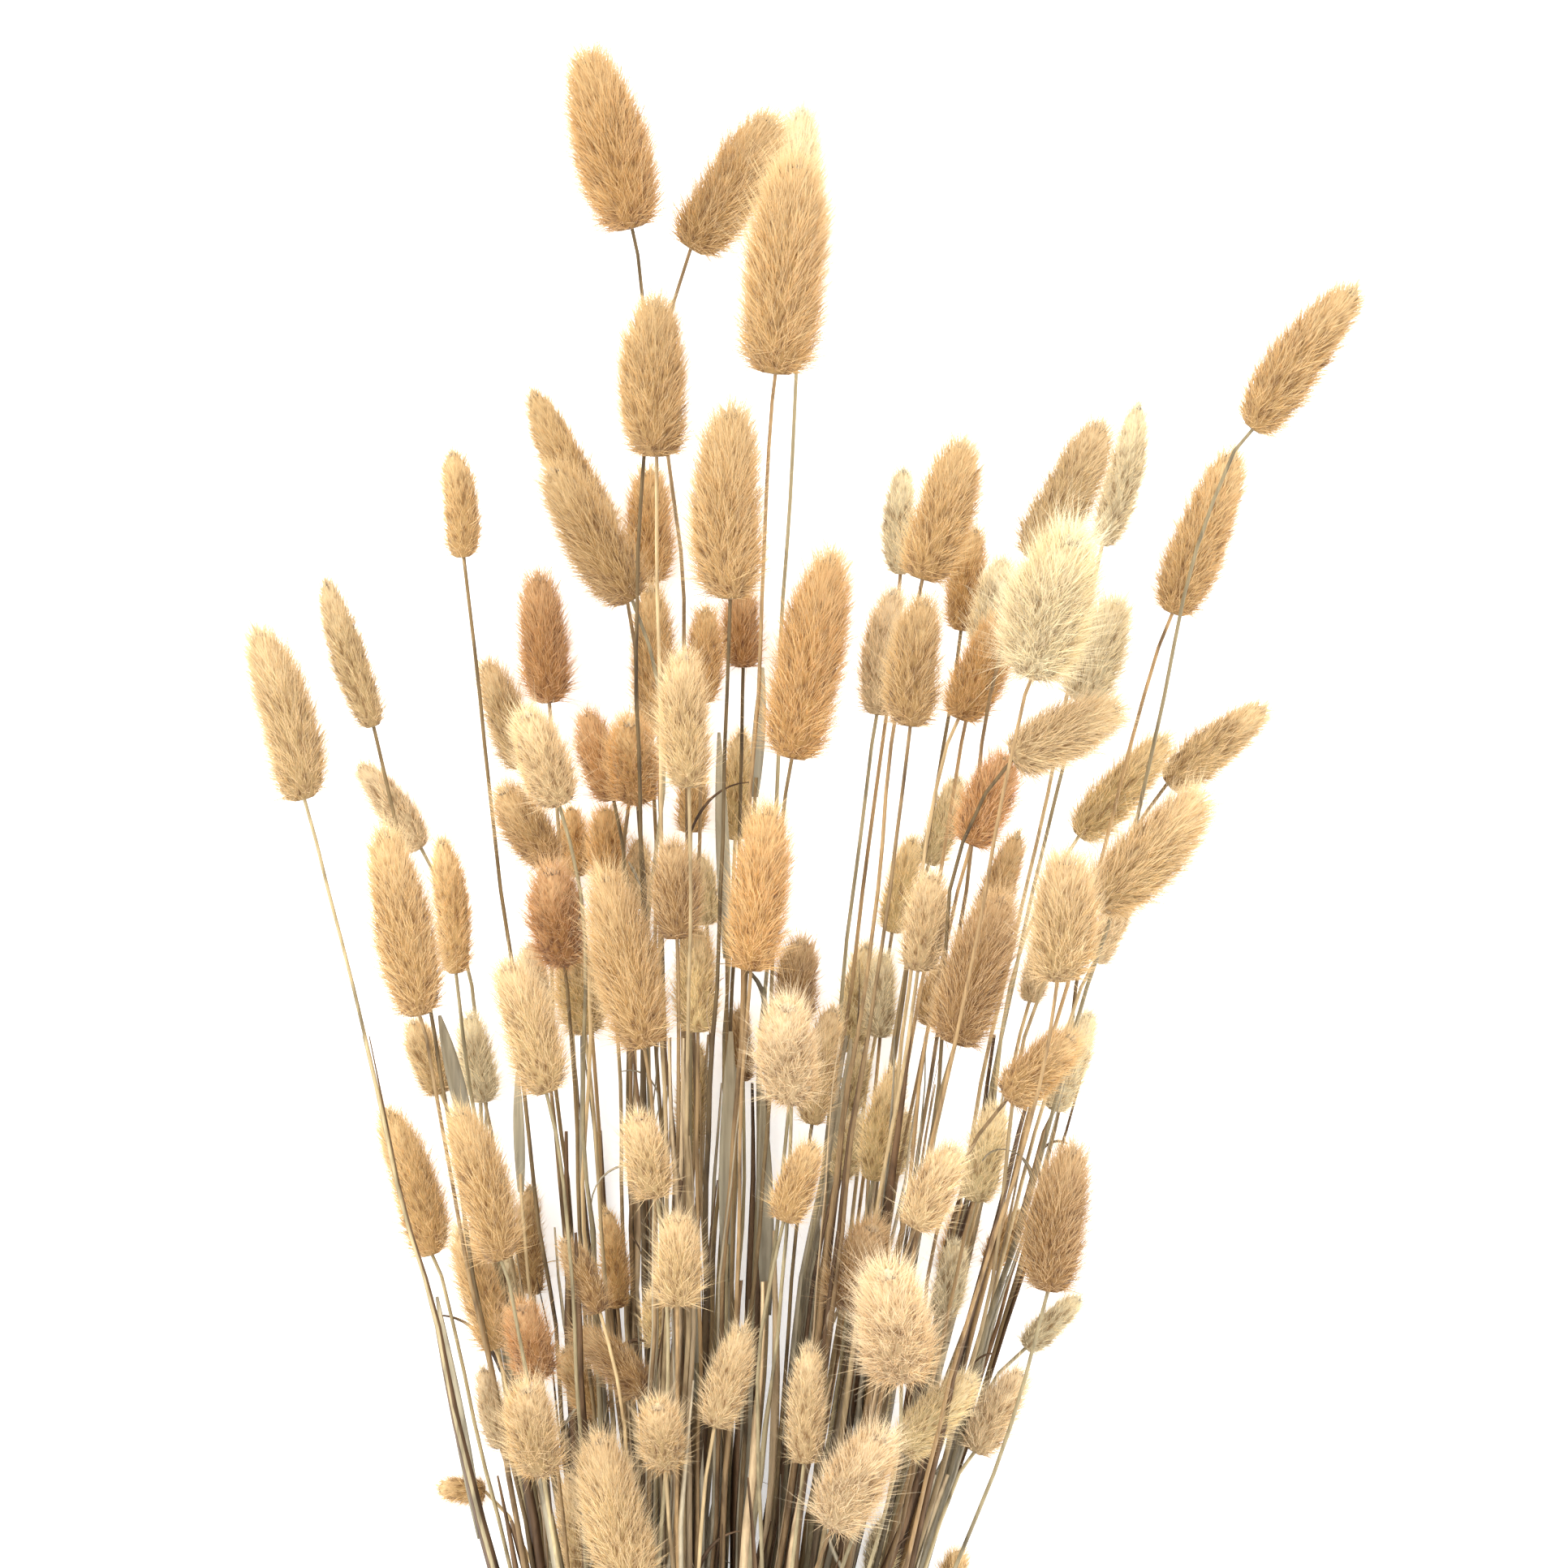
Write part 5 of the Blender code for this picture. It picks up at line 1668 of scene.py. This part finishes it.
@dataclass
class Blades:
    """The dried leaf blades, folded along the middle and a little twisted."""

    bunch: Bunch
    stations: int = 14
    across: tuple[float, ...] = (-1.0, -0.5, 0.0, 0.5, 1.0)
    thickness: float = 0.45
    least_half_width: float = 0.25
    fold: float = 0.22
    twist: float = 0.5
    seed: int = 23

    def build(self) -> list[bpy.types.Object]:
        """Builds all the blades as one piece.

        Returns:
            The pieces.
        """
        draw = np.random.default_rng(self.seed)
        members = [i for i, culm in enumerate(self.bunch.culms) if culm.is_leaf]
        points, faces, reach, shade = [], [], [], []
        around = 2 * len(self.across)
        for i in members:
            tone = draw.uniform(0.2, 0.9)
            turn = draw.uniform(-1, 1) * self.twist
            faces.extend(self.blade_faces(len(points), around))
            points.extend(self.blade_points(self.bunch.fan.neck[i], self.bunch.culms[i], turn))
            reach.extend(np.repeat(np.arange(self.stations) / (self.stations - 1), around))
            shade.extend([tone] * (around * self.stations))
        piece = mesh_object("leaf_blades", np.array(points), faces=faces)
        stamp(piece.data, "reach", np.array(reach))
        stamp(piece.data, "shade", np.array(shade))
        piece.data.materials.append(BLADE_FINISH.material())
        return [fastened(piece, self.bunch.nodes_of(members))]

    def blade_points(self, neck: np.ndarray, culm: Culm, turn: float) -> list[np.ndarray]:
        """The points of one blade, ring by ring.

        Args:
            neck: Where it opens from its stem.
            culm: Its stem.
            turn: How far it twists.

        Returns:
            Each ring's upper edge from one side to the other, and its lower edge back.
        """
        _, side, up = square_axes(culm.along)
        made = []
        for share in np.arange(self.stations) / (self.stations - 1):
            taper = math.sin(math.pi * min(0.97, 0.12 + 0.86 * share)) ** 0.7
            half = max(self.least_half_width, 0.5 * culm.width * taper)
            angle = turn * (share - 0.3) * math.pi
            flat = side * math.cos(angle) + up * math.sin(angle)
            lift = up * math.cos(angle) - side * math.sin(angle)
            centre = neck + culm.along * share
            for edge, below in ((self.across, 0.0), (self.across[::-1], self.thickness)):
                for place in edge:
                    rise = half * self.fold * (abs(place) * 2 - 1) - below
                    made.append(centre + flat * half * place + lift * rise)
        return made

    def blade_faces(self, first: int, around: int) -> list[tuple[int, ...]]:
        """The faces of a blade.

        Args:
            first: The number of its first point.
            around: How many points each ring has.

        Returns:
            The corners of each face.
        """
        made = []
        for row in range(self.stations - 1):
            base = first + around * row
            for j in range(around):
                k = (j + 1) % around
                made.append((base + j, base + k, base + around + k, base + around + j))
        last = first + around * (self.stations - 1)
        made.append(tuple(range(first, first + around))[::-1])
        made.append(tuple(range(last, last + around)))
        return made


@dataclass
class Tie:
    """The twine wound round the bunch, with its knot, two tails and a fuzz of fibres."""

    twist: bpy.types.NodeTree
    hairs: bpy.types.NodeTree
    turns: int = 5
    pitch: float = 1.75
    radius: float = 0.92
    lay: float = 6.0
    step: float = 0.7
    wind_radius: float = 17.6
    knot_angle: float = math.radians(63.0)
    knot_scale: float = 1.05
    knot_rise: float = 0.9
    knot_stands: float = 1.6
    tail_length: float = 13.0
    fuzz_per_mm2: float = 0.9
    fuzz_length: float = 1.5
    fuzz_radius: float = 0.05
    seed: int = 5

    def build(self) -> list[bpy.types.Object]:
        """Winds the twine and grows its loose fibres.

        Returns:
            The pieces.
        """
        lines = Lines()
        lines.add(self.winding())
        lines.add(self.knot(), closed=True)
        for way in (1, -1):
            lines.add(self.tail(way))
        piece = lines.object("wound_twine")
        material = TWINE_FINISH.material()
        sizes = {"Radius": self.radius * MM, "Lay": self.lay * MM, "Step": self.step * MM}
        grown(piece, self.twist, sizes | {"Material": material})
        count = len(piece.data.vertices)
        stamp(piece.data, "girth", np.ones(count))
        stamp(piece.data, "along", np.zeros(count))
        stamp(piece.data, "axis", np.tile((0.0, 0.6, 0.0), (count, 1)))
        fuzz = {
            "Density": self.fuzz_per_mm2 / MM**2, "Denser Along": 1.0, "Length": self.fuzz_length * MM,
            "Thickness": self.fuzz_radius * MM, "Spread": 0.6, "Lean": 0.2, "Lean Along": 0.0, "Jitter": 0.9,
            "Halo Share": 0.1, "Halo Length": 1.8, "Lowest": LOWEST_HAIR * MM,
        }
        grown(piece, self.hairs, fuzz | {"Seed": self.seed, "Material": material})
        return [fastened(piece, ["twine_tie"])]

    def winding(self) -> np.ndarray:
        """The turns round the bunch.

        Returns:
            Their points.
        """
        turn = np.linspace(0, self.turns * math.tau, 48 * self.turns + 1)
        along = self.pitch * (turn / math.tau - self.turns / 2)
        across = self.wind_radius * np.cos(turn + self.knot_angle)
        above = AXIS_HEIGHT + self.wind_radius * np.sin(turn + self.knot_angle)
        return np.column_stack((across, along, above))

    def knot_axes(self) -> tuple[np.ndarray, np.ndarray, np.ndarray]:
        """Where the knot stands.

        Returns:
            Its middle, outwards from the bunch, and round the bunch.
        """
        outward = np.array((math.cos(self.knot_angle), 0.0, math.sin(self.knot_angle)))
        around = np.array((-math.sin(self.knot_angle), 0.0, math.cos(self.knot_angle)))
        middle = np.array((0.0, 0.0, AXIS_HEIGHT)) + outward * (self.wind_radius + self.knot_stands)
        return middle, outward, around

    def knot(self) -> np.ndarray:
        """An overhand knot, drawn tight.

        Returns:
            Its points.
        """
        middle, outward, around = self.knot_axes()
        t = np.linspace(0, math.tau, 60, endpoint=False)
        one = np.sin(t) + 2 * np.sin(2 * t)
        other = np.cos(t) - 2 * np.cos(2 * t)
        rise = -np.sin(3 * t)
        flat = one[:, None] * around + other[:, None] * np.array((0.0, 1.0, 0.0))
        return middle + self.knot_scale * flat + self.knot_rise * rise[:, None] * outward

    def tail(self, way: int) -> np.ndarray:
        """A cut end of the twine, from the knot along the bundle.

        Args:
            way: 1 towards the heads, -1 towards the cut ends.

        Returns:
            Its points.
        """
        middle, outward, around = self.knot_axes()
        share = np.linspace(0, 1, 14)[:, None]
        away = outward * (0.4 + 1.4 * np.sin(math.pi * share))
        run = np.array((0.0, way * self.tail_length, 0.0)) * share
        return middle + away - around * (way * 2.0 * share) + run


@dataclass
class Studio:
    """A pale floor that glows a little, soft light, and a camera that looks straight down on the heads."""

    frame_width: float = 386.4
    middle: tuple[float, float] = (23.2, 350.2)
    focus_height: float = 50.0
    lens: float = 450.0
    sensor: float = 36.0
    clip_end: float = 100.0
    floor_size: float = 12.0
    floor_colour: Colour = (0.94, 0.94, 0.94)
    floor_glow: float = 0.50
    world_strength: float = 1.60
    lamp_power: float = 34.0
    lamp_size: float = 1.6
    lamp_place: Triple = (-0.9, 1.3, 2.0)
    lamp_aim: Triple = (0.0, 0.35, 0.0)

    def build(self) -> None:
        """Sets it all up."""
        self.floor()
        self.camera()
        self.lights()

    def placed(self, name: str, data: bpy.types.ID, place: Vector) -> bpy.types.Object:
        """Puts a camera or a lamp in the scene.

        Args:
            name: The object's name.
            data: The camera or the lamp.
            place: Where it stands, in metres.

        Returns:
            The object.
        """
        made = bpy.data.objects.new(name, data)
        made.location = place
        bpy.context.scene.collection.objects.link(made)
        return made

    def floor(self) -> None:
        """A wide pale floor under the bunch."""
        half = self.floor_size / 2 / MM
        corners = np.array([(x * half, y * half, 0.0) for x, y in ((-1, -1), (1, -1), (1, 1), (-1, 1))])
        floor = mesh_object("floor", corners, faces=[(0, 1, 2, 3)], smooth=False)
        made = bpy.data.materials.new("pale_floor")
        made.use_nodes = True
        inputs = made.node_tree.nodes["Principled BSDF"].inputs
        inputs["Base Color"].default_value = (*self.floor_colour, 1.0)
        inputs["Roughness"].default_value = 0.9
        inputs["Specular IOR Level"].default_value = 0.0
        inputs["Emission Color"].default_value = (*WHITE, 1.0)
        inputs["Emission Strength"].default_value = self.floor_glow
        floor.data.materials.append(made)

    def camera(self) -> None:
        """A long lens straight above, with the heads at the top of the picture."""
        data = bpy.data.cameras.new("camera")
        data.lens = self.lens
        data.sensor_width = self.sensor
        data.clip_end = self.clip_end
        distance = self.frame_width * self.lens / self.sensor
        place = Vector((*self.middle, self.focus_height + distance)) * MM
        bpy.context.scene.camera = self.placed("camera", data, place)

    def lights(self) -> None:
        """White light from all round, and one large soft lamp."""
        scene = bpy.context.scene
        scene.view_settings.view_transform = "Standard"
        world = bpy.data.worlds.new("soft_white")
        world.use_nodes = True
        background = world.node_tree.nodes["Background"]
        background.inputs["Color"].default_value = (*WHITE, 1.0)
        background.inputs["Strength"].default_value = self.world_strength
        scene.world = world
        lamp = bpy.data.lights.new("soft_lamp", "AREA")
        lamp.energy = self.lamp_power
        lamp.size = self.lamp_size
        made = self.placed("soft_lamp", lamp, Vector(self.lamp_place))
        made.rotation_euler = (Vector(self.lamp_aim) - made.location).to_track_quat("-Z", "Y").to_euler()


def main() -> None:
    """Builds the bunch's looks in order, and reports each piece."""
    logging.basicConfig(level=logging.INFO, format="%(message)s", stream=sys.stdout)
    for obj in list(bpy.data.objects):
        bpy.data.objects.remove(obj, do_unlink=True)
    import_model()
    Studio().build()
    bunch = Bunch()
    hairs = hair_tree()
    sweep = sweep_tree()
    stems = Stems(bunch, sweep)
    husks = Husks(bunch, sweep, joints=stems.joints)
    for assembly in (stems, husks, Blades(bunch), Plumes(bunch, hairs), Tie(twist_tree(), hairs)):
        for piece in assembly.build():
            LOG.info("%s: %d triangles", piece.name, triangles(piece))


if __name__ == "__main__":
    main()
